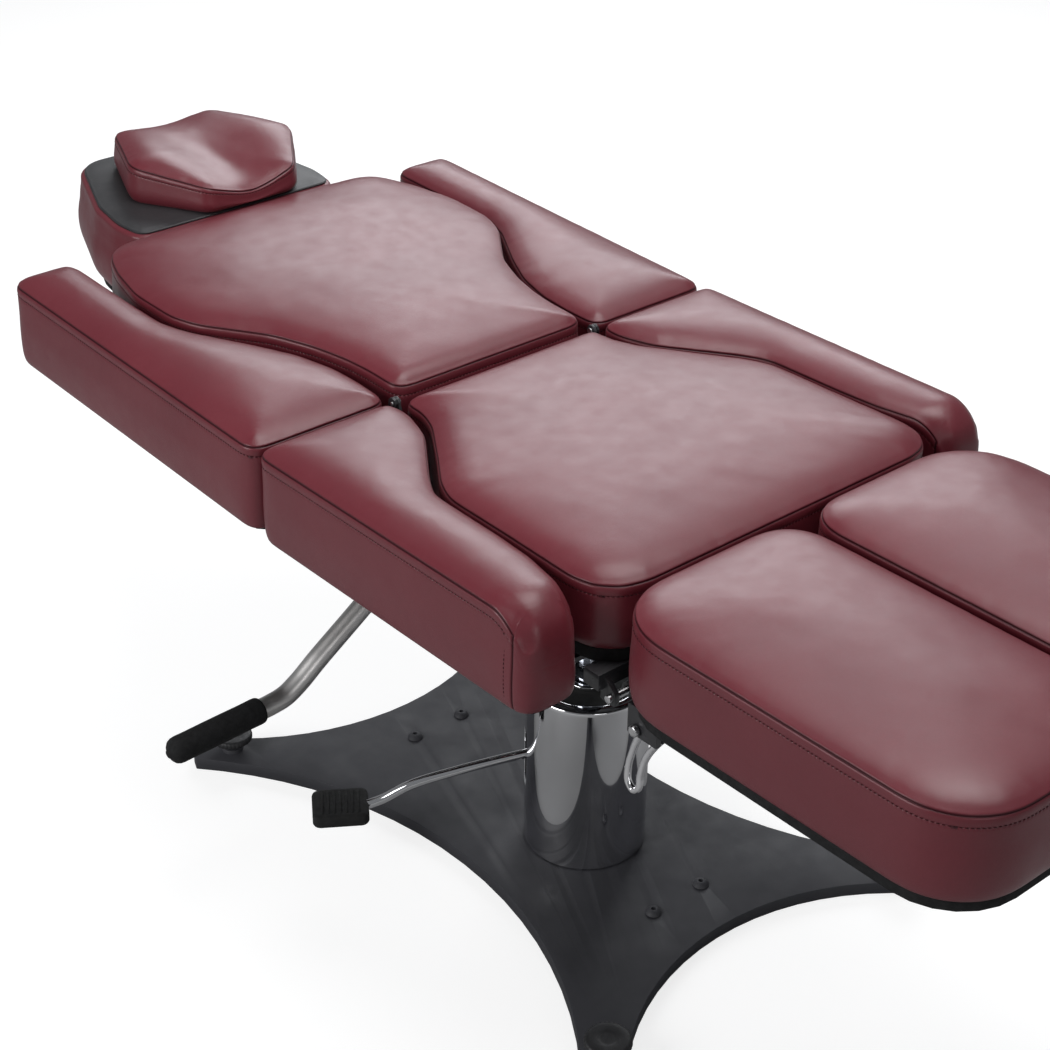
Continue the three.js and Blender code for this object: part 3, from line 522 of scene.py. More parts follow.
class Cover:
    """Rings of a boxed cushion cover, stacked from its underside over the side to the top.

    plan is the outline, counter-clockwise; offsets run inward from it. top is the height the
    top panel is stretched over, or a function of x and y that gives it; the crown is added.
    sewn is 1 where the outline has a seam, and sunk how far a groove goes into the side, 0 to 1.
    """

    def __init__(self, plan, bottom, top, crown, crown_run, inset, sewn, sunk):
        self.plan, self.bottom, self.inset = plan, bottom, inset
        self.crown, self.crown_run = crown, crown_run
        self.count = len(plan)
        self.surface = top if callable(top) else lambda x, y: np.full(np.shape(x), float(top))
        self.rim = self.surface(plan[:, 0], plan[:, 1])
        self.sewn = np.ones(self.count) if sewn is None else np.asarray(sewn, float)
        self.sunk = np.zeros(self.count) if sunk is None else sunk
        self.arc = arc_lengths(plan)
        normal = inward(plan)
        for _ in range(2):
            normal = normal * 0.5 + (np.roll(normal, 1, 0) + np.roll(normal, -1, 0)) * 0.25
        self.normal = normal / np.hypot(*normal.T)[:, None]
        self.edge = plan + self.normal * inset
        has_seam = self.sewn > 0.5
        self.seam_mask = None if has_seam.all() or not has_seam.any() else has_seam
        self.rings, self.pins, self.seam = [], [], []

    def offset(self, distance):
        return self.plan + self.normal * np.broadcast_to(distance, (self.count,))[:, None]

    def ring(self, distance, z, pin=0.0, seam=0.0, on_side=True):
        if on_side:
            distance = distance + 2.0 * self.sunk
        z = np.broadcast_to(z, (self.count,))
        self.rings.append(np.column_stack([self.offset(distance), z]))
        self.pins.append(np.where(self.sunk > 0.05, 1.0, pin))
        # seam weight: how strongly painted shade darkens this ring, full where a groove is sunk
        self.seam.append(np.maximum(seam * self.sewn, self.sunk if on_side else 0.0))

    def crowned(self, points):
        """Height of the top panel, which rises away from the seam."""
        distance = outline_distance(points, self.edge, self.seam_mask)
        rise = self.crown * (1 - np.exp(-distance / self.crown_run))
        return self.surface(points[:, 0], points[:, 1]) + rise

    def top_ring(self, distance, pin, seam=0.0, extra=0.0):
        z = self.crowned(self.offset(distance)) + extra
        self.ring(distance, z, pin, seam, on_side=False)

    def rows(self, index):
        return slice(index * self.count, (index + 1) * self.count)

    def add_side(self, bulge, edge_round, side_rows, stitch_drop):
        """Rounded lower edge and bulging wall, up to just above the line of stitches."""
        inset, bottom, rim = self.inset, self.bottom, self.rim
        height = rim - bottom
        self.ring(edge_round + inset, bottom, 1.0)
        self.ring(edge_round * 0.45 + inset, bottom + edge_round * 0.10, 1.0)
        self.ring(edge_round * 0.12 + inset, bottom + edge_round * 0.40, 0.6)
        low = bottom + edge_round * 0.4
        for k in range(1, side_rows + 1):
            t = k / (side_rows + 1)
            z = low + (np.minimum(rim - stitch_drop - 3, rim - 0.25 * height) - low) * t
            self.ring(inset - bulge * math.sin(math.pi * (t * 0.92 + 0.08)) ** 0.8, z)
        self.squash = np.minimum(1.0, height / 60.0)  # brings the rings together on a low wall
        self.ring(inset - bulge * 0.34, rim - (stitch_drop + 1.8) * self.squash, 0.2)
        self.stitch_row = len(self.rings)
        self.ring(inset - bulge * 0.30 + 0.35, rim - stitch_drop * self.squash, 0.5, 0.10)
        self.ring(inset - bulge * 0.28, rim - (stitch_drop - 1.8) * self.squash, 0.4)

    def add_seam(self, bulge_mask, top_round, stitch_drop):
        """Welt, with the seam sunk behind it, or a plain rounded edge of radius top_round."""
        inset, rim, sewn = self.inset, self.rim, self.sewn
        self.ring(inset - (0.9 * bulge_mask + 0.2) * sewn - 0.3 * (1 - sewn),
                  rim - stitch_drop * 0.52 * self.squash, 0.5)
        if top_round:
            for angle in (0, 22, 45, 67):
                turn = math.radians(angle)
                self.ring(inset - 0.3 + top_round * (1 - math.cos(turn)),
                          rim - top_round * (1 - math.sin(turn)), 0.6)
            return
        self.ring(inset - 0.5 * sewn - 0.2 * (1 - sewn), rim - 2.4 * self.squash, 0.8)
        self.ring(inset + 0.05 * sewn - 0.1 * (1 - sewn), rim - 0.9, 1.0, 0.05)
        self.ring(inset + 0.7 * sewn, rim - 0.35, 1.0, 0.7)
        self.ring(inset + 2.1 * sewn, rim - 0.2 + 0.15 * sewn, 1.0, 1.0, on_side=False)

    def add_top(self, top_round):
        """The five outer rings of the top panel."""
        inset, sewn = self.inset, self.sewn
        flat = not top_round
        self.top_ring(inset + 0.85 * sewn + 0.7 + top_round, 1.0, 0.65, 0.25 * flat)
        self.top_ring(inset + 0.45 * sewn + 1.7 + top_round * 1.2, 0.8, 0.04, 0.8 * flat)
        for distance, pin in ((4.6, 0.25), (8.0, 0.0), (12.2, 0.0)):
            self.top_ring(inset + distance + top_round * 1.2, pin)

    def close(self, grid):
        """Fills the top over a square grid and the underside flat; returns verts and faces."""
        faces = []
        for i in range(len(self.rings) - 1):
            faces += ring_faces(i * self.count, (i + 1) * self.count, self.count)
        last = self.rings[-1][:, :2]
        low, high = self.plan.min(0), self.plan.max(0)
        points = np.array([(x, y) for y in np.arange(low[1] + grid / 2, high[1], grid)
                           for x in np.arange(low[0] + grid / 2, high[0], grid)])
        points = points[inside(points, last)]
        points = points[outline_distance(points, last) > grid * 0.55]
        first = (len(self.rings) - 1) * self.count
        faces += [[first + i for i in f] for f in fill(last, points)]
        faces += [list(reversed(f)) for f in fill(self.rings[0][:, :2])]
        verts = np.vstack([*self.rings, np.column_stack([points, self.crowned(points)])])
        interior = np.zeros(len(points))
        self.pins = np.concatenate([*self.pins, interior])
        self.seam = np.concatenate([*self.seam, interior])
        return verts, faces

    def roughen(self, verts, dome, pucker, seed):
        """Adds the foam's unevenness, a broad dome, and small gathers along the seam."""
        distance = outline_distance(verts[:, :2], self.plan)
        on_top = verts[:, 2] > self.surface(verts[:, 0], verts[:, 1]) - 1.0
        broad = np.array([noise.noise(Vector((x * 0.0125 + seed, y * 0.010, z * 0.012)))
                          for x, y, z in verts])
        small = np.array([noise.noise(Vector((x * 0.034 + 7 + seed, y * 0.030, z * 0.03)))
                          for x, y, z in verts])
        swell = (broad * 0.9 + small * 0.3) * smoothstep(distance, 6, 60)
        verts[:, 2] += np.where(on_top, swell, 0)
        verts[:, 2] += np.where(on_top, dome * smoothstep(distance, 10, 160), 0)
        arc = self.arc[:-1]
        gather = np.array([noise.noise(Vector((s * 0.075 + seed * 3, 0.3, 0.0)))
                           + 0.6 * noise.noise(Vector((s * 0.2 + seed * 5, 1.3, 0.0)))
                           for s in arc])
        for back, weight in ((5, 0.25), (4, 0.8), (3, 1.0), (2, 0.9), (1, 0.45)):
            rows = self.rows(len(self.rings) - back)
            verts[rows, 2] += pucker * weight * gather * self.sewn
        pull = np.array([noise.noise(Vector((s * 0.11 + seed * 2, 4.1, 0.0))) for s in arc])
        for row, weight in ((self.stitch_row, 0.6), (self.stitch_row + 2, 1.0)):
            verts[self.rows(row), :2] += -self.normal * pull[:, None] * pucker * weight

    def attributes(self, total):
        """Painted shade along the seam, nearness to the stitches, and a count of them round the
        outline.
        """
        band, number = np.zeros(total), np.zeros(total)
        for row, weight in ((-1, 0.3), (0, 1.0), (1, 0.3)):
            band[self.rows(self.stitch_row + row)] = weight * self.sewn
        pitch = self.arc[-1] / int(self.arc[-1] / STITCH_PITCH)
        for i in range(len(self.rings)):
            number[self.rows(i)] = self.arc[:-1] / pitch
        return {"seam": self.seam, "stitch_band": band, "stitch_count": number}


def draw_back(verts, edge, towards, width, depth, low, height):
    """Draws the upper edge at the hinge line back, so the pads clear as the back rises."""
    t = (smoothstep(1 - (verts[:, 1] - edge) * towards / width, 0, 1)
         * smoothstep((verts[:, 2] - low) / height, 0, 1))
    verts[:, 1] += towards * depth * t
    verts[:, 2] -= 0.5 * depth * t


def pad(name, plan, bottom, top, crown, body, replaces, crown_run, cap, seed, matrix=CHAIR_FRAME,
        slot="vinyl", grid=9.0, inset=-1.4, bulge=3.0, bulge_mask=1.0, edge_round=9.0,
        side_rows=7, stitch_drop=12.0, top_round=0.0, sewn=None, sunk=None, dome=0.0, pucker=0.5,
        pressure=4.0, calm=2, hinge=None, stitch_path=None):
    """Builds one cushion cover with its topstitching, and returns both objects."""
    cover = Cover(plan, bottom, top, crown, crown_run, inset, sewn, sunk)
    cover.add_side(bulge * bulge_mask, edge_round, side_rows, stitch_drop)
    cover.add_seam(bulge_mask, top_round, stitch_drop)
    cover.add_top(top_round)
    verts, faces = cover.close(grid)
    verts = inflate(name, verts, faces, cover.pins, cap, pressure, calm)
    cover.roughen(verts, dome, pucker, seed)
    if hinge:
        draw_back(verts, **hinge)
    obj = mesh_object(name, verts, faces, FINISH[slot], matrix, cover.attributes(len(verts)))
    subdivide(obj)
    attach(obj, body, replaces)
    if not cover.sewn.any():
        return obj, None
    path = verts[cover.rows(cover.stitch_row)].copy()
    path[:, :2] -= cover.normal * 0.25
    if stitch_path:
        path = stitch_path(path, verts)
        shown = np.ones(len(path), bool)
    else:
        path = np.vstack([path, path[:1]])
        shown = cover.sewn > 0.5
    return obj, stitches(name + "_stitches", path, shown, matrix, body)


def stitches(name, path, shown, matrix, body):
    """Short sunk stitches along an open path, as one mesh; shown is set per path segment."""
    length, radius, sides = 3.5, 0.48, 6
    # along the stitch, thickness
    taper = ((0.0, 0.25), (0.2, 0.9), (0.5, 1.0), (0.8, 0.9), (1.0, 0.25))
    arc = np.concatenate([[0], np.cumsum(np.linalg.norm(np.diff(path, axis=0), axis=1))])
    at = lambda t: np.array([np.interp(t, arc, path[:, k]) for k in range(3)])
    verts, faces = [], []
    total = int(arc[-1] / STITCH_PITCH)
    for i in range(total):
        middle = (i + 0.5) * arc[-1] / total
        if not shown[int(np.searchsorted(arc, middle)) - 1]:
            continue
        start = at(middle - length / 2)
        along = at(middle + length / 2) - start
        span = np.linalg.norm(along)
        if span < 0.5:
            continue
        along /= span
        across = np.cross(along, [0, 0, 1.0])
        if np.linalg.norm(across) < 0.1:  # an upright stitch
            across = np.array([1.0, 0, 0])
        across /= np.linalg.norm(across)
        over = np.cross(across, along)
        base = len(verts)
        for t, thickness in taper:
            centre = start + along * span * t
            for k in range(sides):
                turn = k * 2 * math.pi / sides
                verts.append(centre + (across * math.cos(turn) + over * math.sin(turn))
                             * radius * thickness)
        end = base + (len(taper) - 1) * sides
        for row in range(base, end, sides):
            faces += ring_faces(row, row + sides, sides)
        faces.append([base + k for k in reversed(range(sides))])
        faces.append([end + k for k in range(sides)])
    obj = mesh_object(name, verts, faces, THREAD, matrix)
    attach(obj, body)
    return obj


def mirror_pad(pieces, name, body, replaces):
    """The same sewn cover and stitches, reversed left to right, for the other side."""
    for source, suffix, replaced in zip(pieces, ("", "_stitches"), (replaces, None)):
        mesh = source.data.copy()
        mesh.transform(Matrix.Scale(-1, 4, (1, 0, 0)))
        mesh.flip_normals()
        obj = bpy.data.objects.new(name + suffix, mesh)
        scene.collection.objects.link(obj)
        if source.modifiers:
            subdivide(obj)
        attach(obj, body, replaced)


# ---- seat
SEAM_HEIGHT = 715.0
WING_BOTTOM = 591.0
WING_OUTER_CORNER = (-405.0, -309.0)
WING_INNER_CORNER = (-322.6, -313.0)
wing_plan = outline("seat_wing_r", 640, rounds=2)
WING_FRONT = float(wing_plan[:, 1].min())


def wing_surface(x, y):
    """Level, then a waterfall roll at the -Y end that starts sooner towards the side edges."""
    radius = 52.0
    x, y = np.abs(x), np.asarray(y, float)
    inner = 304.0 + np.clip(-220.0 - y, 0, None) * 22.0 / 111.0
    shift = 13.0 * smoothstep(x, 380, 405) + 10.0 * (1 - smoothstep(x - inner, 0, 20))
    run = np.clip(y - WING_FRONT - shift * smoothstep(-y, 240, 290), 0, None)
    fall = np.clip(radius - run, 0, radius)
    return SEAM_HEIGHT - radius + np.sqrt(np.clip(radius * radius - fall ** 2, 0, None))


def nearest(loop, point):
    return int(np.argmin(np.hypot(loop[:, 0] - point[0], loop[:, 1] - point[1])))


def between(first, last, count):
    """Indices strictly between two places on a closed outline."""
    return (first + 1 + np.arange((last - first - 1) % count)) % count


def refine(loop, corners):
    """Adds close points either side of each corner, and returns the groove depth at each."""
    # distance from the corner, groove depth
    spacing = [(0, 1.0), (0.7, 0.72), (1.6, 0.16), (2.8, 0.0), (5.0, 0.0), (8.0, 0.0)]
    clear = 11.0
    depth = np.zeros(len(loop))
    for corner in corners:
        i = nearest(loop, corner)
        loop, depth = np.roll(loop, -i, 0), np.roll(depth, -i)
        arc = arc_lengths(loop)
        total = arc[-1]
        xs, ys = (np.append(loop[:, k], loop[0, k]) for k in (0, 1))
        at = lambda t: (np.interp(t % total, arc, xs), np.interp(t % total, arc, ys))
        after = [(*at(s), d) for s, d in spacing]
        before = [(*at(-s), d) for s, d in reversed(spacing[1:])]
        rest = [(*loop[k], depth[k]) for k in range(len(loop)) if clear < arc[k] < total - clear]
        points = np.array(after + rest + before)
        loop, depth = points[:, :2], points[:, 2]
    return loop, depth


def build_seat():
    pad("seat_cushion_cover", outline("seat_cushion", 680), bottom=627.4, top=SEAM_HEIGHT,
        crown=20.0, body="seat", replaces="seat_cushion", crown_run=18, bulge=2.5, cap=6.0,
        dome=4.0, seed=1.0, hinge=dict(edge=197.4, towards=-1, width=26.0, depth=2.8,
                                       low=SEAM_HEIGHT - 18, height=16.0))
    # the seam leaves the top at the two -Y corners and runs down them, so the edge between
    # them has none
    plan, sunk = refine(wing_plan, [WING_INNER_CORNER, WING_OUTER_CORNER])
    outer, inner = nearest(plan, WING_OUTER_CORNER), nearest(plan, WING_INNER_CORNER)
    sewn = np.ones(len(plan))
    sewn[between(outer, inner, len(plan))] = 0.0

    def wing_stitches(path, verts):
        """Along the top seam, then round and down the side by the outer corner."""
        run = path[between(inner, outer, len(path))]
        turn = WING_OUTER_CORNER[1] + 13.0
        run = run[~((run[:, 0] < -390) & (run[:, 1] < turn + 9))]
        _, y0, z0 = run[-1]
        near = verts[(verts[:, 0] < -395) & (np.abs(verts[:, 1] - turn) < 14)]

        def on_side(y, z):
            weight = 1.0 / ((near[:, 1] - y) ** 2 + (near[:, 2] - z) ** 2 + 4.0) ** 2
            return [float((near[:, 0] * weight).sum() / weight.sum()) - 0.35, y, z]

        tail = [on_side(y0 - 4.5, z0 - 1.6), on_side(y0 - 7.6, z0 - 5.0), on_side(turn, z0 - 10.0)]
        tail += [on_side(turn, z) for z in np.arange(z0 - 18, WING_BOTTOM + 8, -8.0)]
        return np.vstack([run[int(len(run) * 0.25):], tail])

    wing = pad("seat_wing_cover_r", plan, bottom=WING_BOTTOM, top=wing_surface, crown=19.0,
               body="seat", replaces="seat_wing_r", sewn=sewn, sunk=sunk, bulge=2.2, cap=5.0,
               crown_run=17, dome=2.0, seed=2.0, stitch_path=wing_stitches)
    mirror_pad(wing, "seat_wing_cover_l", "seat", "seat_wing_l")


def build_back():
    pad("back_cushion_cover", outline("back_cushion", -40, BACK_FRAME), bottom=-86.6, top=13.0,
        crown=17.0, body="back", replaces="back_cushion", matrix=BACK_FRAME, crown_run=18,
        bulge=2.5, cap=6.0, dome=5.0, seed=3.0,
        hinge=dict(edge=3.6, towards=1, width=26.0, depth=4.2, low=-14.0, height=22.0))
    wing = pad("back_wing_cover_r", outline("back_wing_r", -60, BACK_FRAME, rounds=2),
               bottom=-123.0, top=1.0, crown=19.0, body="back", replaces="back_wing_r",
               matrix=BACK_FRAME, bulge=2.2, cap=5.0, crown_run=17, dome=2.0, seed=4.0)
    mirror_pad(wing, "back_wing_cover_l", "back", "back_wing_l")


def build_legs():
    leg = pad("leg_cover_r", outline("leg_cushion_r", 660), bottom=608.0, top=718.0, crown=19.0,
              body="leg_r", replaces="leg_cushion_r", cap=6.0, crown_run=17, dome=4.0, seed=5.0)
    mirror_pad(leg, "leg_cover_l", "leg_l", "leg_cushion_l")


def build_headrest():
    """A seamless block that bulges only towards the head, with a thin black panel on top."""
    plan = outline("headrest_panel", 14.5, BACK_FRAME, step=6.0, rounds=2)
    normal = inward(plan)
    seamless = np.zeros(len(plan))
    block = plan - normal * 3.2
    pad("headrest_cover", block, bottom=-108.0, top=12.0, crown=1.2, body="headrest",
        replaces="headrest_block", matrix=BACK_FRAME, grid=11, bulge=9.5, stitch_drop=26.0,
        cap=3.0, crown_run=6, bulge_mask=smoothstep(block[:, 1], 634, 662), sewn=seamless,
        seed=6.0, edge_round=12, top_round=6.0, inset=0.0)
    pad("headrest_panel_cover", plan + normal * 3.4, bottom=12.6, top=15.0, crown=3.2,
        body="headrest", replaces="headrest_panel", matrix=BACK_FRAME, slot="black_vinyl",
        bulge=0.2, stitch_drop=1.0, cap=1.5, crown_run=9, seed=7.0, edge_round=0.8, side_rows=1,
        pucker=0.15, inset=0.2, sewn=seamless)


def pillow_surface(x, y):
    """Two raised lobes with a shallow valley between them that runs towards the feet."""
    u = (np.asarray(x, float) - 26.0) / 153.0
    v = (np.asarray(y, float) - 631.0) / 262.0
    valley = 38 + 24 * smoothstep(v, 0.0, 0.8)
    lobe = 62 + 13 * smoothstep(v, 0.05, 0.5) - 4 * smoothstep(v, 0.6, 1.0)
    return valley + (lobe - valley) * smoothstep(np.abs(u), 0.0, 0.72)


def build_pillow():
    plan = outline("head_pillow", 35, BACK_FRAME, step=5.0, rounds=2)
    pad("pillow_cover", plan, bottom=17.2, top=pillow_surface, crown=13.0, body="pillow",
        replaces="head_pillow", matrix=BACK_FRAME, grid=7, bulge=4.5, stitch_drop=9.0, cap=2.2,
        crown_run=15, seed=8.0, edge_round=6, side_rows=4, pucker=0.7, pressure=2.0, calm=10,
        inset=0.0)


# ------------------------------------------------------------------ turned and swept parts
def lathe(name, profile, slot, body, replaces=None, at=(0, 0, 0), segments=72,
          turn=CHAIR_FRAME, knurl=None, material=None):
    """Turned piece from (radius, z) pairs; a profile clear of the axis is closed into a ring.

    A knurl is (count, depth, z from, z to).
    """
    verts, faces, rows = [], [], []
    for radius, z in profile:
        first = len(verts)
        if radius < 1e-6:
            verts.append((0, 0, z))
        else:
            for k in range(segments):
                angle = 2 * math.pi * k / segments
                reach = radius
                if knurl and knurl[2] <= z <= knurl[3]:
                    reach -= knurl[1] * (0.5 + 0.5 * math.cos(angle * knurl[0])) ** 3
                verts.append((reach * math.cos(angle), reach * math.sin(angle), z))
        rows.append(range(first, len(verts)))
    pairs = list(zip(rows, rows[1:]))
    if len(rows[0]) > 1 and len(rows[-1]) > 1:
        pairs.append((rows[-1], rows[0]))
    for a, b in pairs:
        if len(a) == 1:
            faces += [[a[0], b[(k + 1) % segments], b[k]] for k in range(segments)]
        elif len(b) == 1:
            faces += [[a[k], a[(k + 1) % segments], b[0]] for k in range(segments)]
        else:
            faces += ring_faces(a[0], b[0], segments)
    obj = mesh_object(name, verts, faces, material or FINISH[slot],
                      Matrix.Translation(Vector(at) * MM) @ turn)
    sharpen(obj, 38)
    attach(obj, body, replaces)


def rounded(points, radius=1.0, steps=3):
    """An open profile with each corner softened by a small arc."""
    result = [points[0]]
    for before, corner, after in zip(points, points[1:], points[2:]):
        corner, before, after = (np.array(p, float) for p in (corner, before, after))
        run_in, run_out = np.linalg.norm(before - corner), np.linalg.norm(after - corner)
        cut = min(radius, run_in * 0.45, run_out * 0.45)
        start = corner + (before - corner) / run_in * cut
        end = corner + (after - corner) / run_out * cut
        for k in range(steps + 1):
            w = k / steps
            result.append(tuple((1 - w) ** 2 * start + 2 * w * (1 - w) * corner + w * w * end))
    result.append(points[-1])
    return result


def spline(points, per_span):
    """Centripetal Catmull-Rom curve through the points."""
    def blend(a, b, start, end, t):
        return (end - t) / (end - start) * a + (t - start) / (end - start) * b

    points = [np.array(p, float) for p in points]
    points = [2 * points[0] - points[1]] + points + [2 * points[-1] - points[-2]]
    result = []
    for i in range(1, len(points) - 2):
        p0, p1, p2, p3 = points[i - 1:i + 3]
        t0 = 0.0
        t1 = t0 + np.linalg.norm(p1 - p0) ** 0.5
        t2 = t1 + np.linalg.norm(p2 - p1) ** 0.5
        t3 = t2 + np.linalg.norm(p3 - p2) ** 0.5
        for k in range(per_span):
            t = t1 + (t2 - t1) * k / per_span
            middle = blend(p1, p2, t1, t2, t)
            left = blend(blend(p0, p1, t0, t1, t), middle, t0, t2, t)
            right = blend(middle, blend(p2, p3, t2, t3, t), t1, t3, t)
            result.append(blend(left, right, t1, t2, t))
    result.append(points[-2])
    return np.array(result)


def tube(name, path, radius, slot, body, replaces, segments=28, up=(0, 1, 0), radii=None,
         material=None):
    """Round bar swept along a path, with shallow domed ends; radii vary it point by point."""
    tangents = np.gradient(path, axis=0)
    tangents /= np.linalg.norm(tangents, axis=1)[:, None]
    side = np.array(up, float)
    verts, faces = [], []
    for centre, along, reach in zip(path, tangents, radii or [radius] * len(path)):
        side = side - along * (side @ along)
        side /= np.linalg.norm(side)
        other = np.cross(along, side)
        for k in range(segments):
            angle = 2 * math.pi * k / segments
            verts.append(centre + (side * math.cos(angle) + other * math.sin(angle)) * reach)
    last = (len(path) - 1) * segments
    for row in range(0, last, segments):
        faces += ring_faces(row, row + segments, segments)
    for row, end, out in ((0, path[0], -tangents[0]), (last, path[-1], tangents[-1])):
        shoulder = len(verts)
        for k in range(segments):
            verts.append(end + (verts[row + k] - end) * 0.72 + out * radius * 0.16)
        tip = len(verts)
        verts.append(end + out * radius * 0.22)
        for quad in ring_faces(row, shoulder, segments):
            faces.append(quad)
            faces.append([quad[3], quad[2], tip])
    obj = mesh_object(name, verts, faces, material or FINISH[slot])
    sharpen(obj, 50)
    attach(obj, body, replaces)


# ------------------------------------------------------------------ base and column
def plan_centre(node):
    low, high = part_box(node)
    return (low.x + high.x) / 2 / MM, (low.y + high.y) / 2 / MM, 0


def build_levellers():
    """Foot disc, threaded stem and knurled knob of each levelling foot."""
    profile = [(0, 0.6), (21.5, 0.6), (22.2, 2.0), (22.2, 5.6), (20.5, 7.2), (6.4, 7.6)]
    for z in np.arange(7.6, 36.0, 1.1):
        profile += [(5.2, z + 0.35), (6.1, z + 0.9)]
    profile += [(6.4, 36.6), (14.0, 38.2), (19.0, 39.0), (30.0, 39.4), (31.6, 40.6), (32.0, 42.4),
                (32.0, 45.6), (31.2, 47.8), (29.0, 49.2), (26.0, 49.7), (14.0, 50.0),
                (12.5, 49.5), (9.0, 49.3), (0, 49.3)]
    for tag in ("head_r", "head_l", "leg_r", "leg_l"):
        node = "leveller_" + tag
        lathe("leveller_knob_" + tag, profile, "plastic", node, node, plan_centre(node),
              segments=96, knurl=(32, 1.1, 40.0, 48.0))


def build_base_bolts():
    profile = [(0, 1), (5.6, 1), (5.6, 20.3), (11.6, 20.3), (12.0, 20.9), (11.4, 22.4),
               (9.0, 25.2), (6.2, 26.9), (4.2, 27.4), (3.6, 27.2), (3.4, 24.6), (0, 24.4)]
    for i in range(1, 5):
        node = f"base_bolt_{i}"
        lathe(f"base_bolt_head_{i}", profile, "powder_coat", "base", node, plan_centre(node),
              segments=48)


PEDAL_ANGLE = math.radians(146)  # heading of the pedal, from +X


def build_pump_cover():
    """Thin polished shell with a rolled top and the pedal's slot."""
    segments, radius = 120, 90
    slot_low, slot_high, slot_segments = 130, 214, 5
    profile = [(88.6, 20.6), (radius, 21.8)]
    profile += [(radius, z) for z in (60, 100, slot_low, 132, 171, 212, slot_high, 250, 290, 293.6)]
    profile += [(89.7, 295.6), (88.8, 297.2), (87.3, 298.0), (74, 298.0), (71.2, 297.6),
                (70.2, 296.6), (70.0, 294.4)]
    verts, faces = [], []
    for r, z in profile:
        for k in range(segments):
            angle = PEDAL_ANGLE + 2 * math.pi * (k + 0.5) / segments
            verts.append([r * math.cos(angle), r * math.sin(angle), z])
    for i in range(len(profile) - 1):
        middle = (profile[i][1] + profile[i + 1][1]) / 2
        for k, quad in enumerate(ring_faces(i * segments, (i + 1) * segments, segments)):
            if slot_low < middle < slot_high and (k + 3) % segments < slot_segments:
                continue
            faces.append(quad)
    obj = mesh_object("pump_cover_shell", verts, faces, CHROME)
    wall = obj.modifiers.new("wall", "SOLIDIFY")
    wall.thickness = 2.5 * MM
    wall.offset = -1
    sharpen(obj, 45)
    attach(obj, "base", "pump_cover")


def build_column():
    """Seal, ram and swivel, from the pump upwards."""
    lathe("pump_seal_ring",
          rounded([(23.6, 285.6), (66, 285.6), (66, 290.5), (60, 291.6), (36, 293.0), (33, 295.2),
                   (26.5, 295.2), (23.6, 293.4)]), "rubber", "base", "pump_seal")
    lathe("wiper_lip",
          rounded([(22.4, 293.8), (31.5, 295.6), (31.5, 299.6), (29.5, 301.0), (24.4, 301.0),
                   (22.4, 299.4)], 0.8), "chrome", "base")
    rod = 21.3
    lathe("ram_rod",
          [(0, 172.2), (20.3, 172.2), *[(rod, z) for z in (173.4, 230, 300, 380, 460, 539.5)],
           (0, 539.5)], "ram_steel", "ram", "ram_column")
    lathe("ram_flange_disc",
          rounded([(0, 540.1), (69, 540.1), (70, 541), (70, 548.6), (69, 549.4), (0, 549.4)], 0.8),
          "frame_paint", "ram", "ram_flange", segments=80)
    lathe("ram_collar", rounded([(21.6, 516), (27, 516), (33, 522), (33, 540), (21.6, 540)], 1.2),
          "frame_paint", "ram", segments=64)
    lathe("swivel_ring",
          rounded([(24, 550.1), (65.4, 550.1), (66, 552.9), (65.4, 555.7), (24, 555.7)], 0.6),
          "steel", "ram", "swivel_bearing", segments=80)
    lathe("swivel_disc",
          rounded([(0, 556.3), (73.4, 556.3), (74, 557), (74, 561), (73.4, 561.5), (0, 561.5)],
                  0.5), "frame_paint", "seat", "swivel_plate", segments=80)


# ------------------------------------------------------------------ levers and spring
def build_recline_lever():
    lever_y, grip_x = 261, -383
    body = "recline_lever"
    stations = [(-5, 497), (-112, 433), (-215, 363), (-282, 318), (-318, 292), (-342, 279.5),
                (-368, 275.5), (-392, 274.6), (-452, 272.6), (-514, 270.5)]  # x, z
    path = spline([(x, lever_y, z) for x, z in stations], 12)
    tube("recline_lever_tube", path, 15.2, "steel", body, "recline_lever", 40, material=BRUSHED)
    lathe("recline_lever_hub",
          rounded([(4.6, -15.8), (16.2, -15.8), (16.2, 15.8), (4.6, 15.8)]), "steel", body,
          at=(0, lever_y, 500), segments=56, turn=ALONG_Y, material=BRUSHED)
    held = path[path[:, 0] < grip_x]
    along = held[-1] - held[0]
    along /= np.linalg.norm(along)
    # distance along the grip, radius
    grip = ((0, 16.2), (1.2, 18.0), (3.5, 19.2), (8, 19.6), (30, 19.3), (60, 19.5), (90, 19.5),
            (120, 19.3), (134, 19.5), (140, 18.9), (145, 16.8), (148.5, 12.8), (150, 8.0))
    start = np.array([grip_x, lever_y, 274.9])
    tube("recline_grip_foam", np.array([start + along * s for s, _ in grip]), 19.5, "foam", body,
         "recline_grip", 48, radii=[r for _, r in grip])


PEDAL_TURN = Matrix.Rotation(PEDAL_ANGLE, 4, "Z")


def build_pedal():
    def turned(x, z):
        return x * math.cos(PEDAL_ANGLE), x * math.sin(PEDAL_ANGLE), z

    stations = [(50, 178), (110, 166), (190, 147), (255, 128), (300, 104), (330, 95),
                (352, 94)]  # distance out, z
    tube("pedal_rod", spline([turned(*s) for s in stations], 10), 7.0, "chrome", "pedal",
         "pedal_lever", up=(0, 0, 1))
    lathe("pedal_sleeve", rounded([(3.9, -8.4), (9, -8.4), (9, 8.4), (3.9, 8.4)], 0.8), "steel",
          "pedal", at=turned(52, 178), segments=40, turn=PEDAL_TURN @ ALONG_Y)


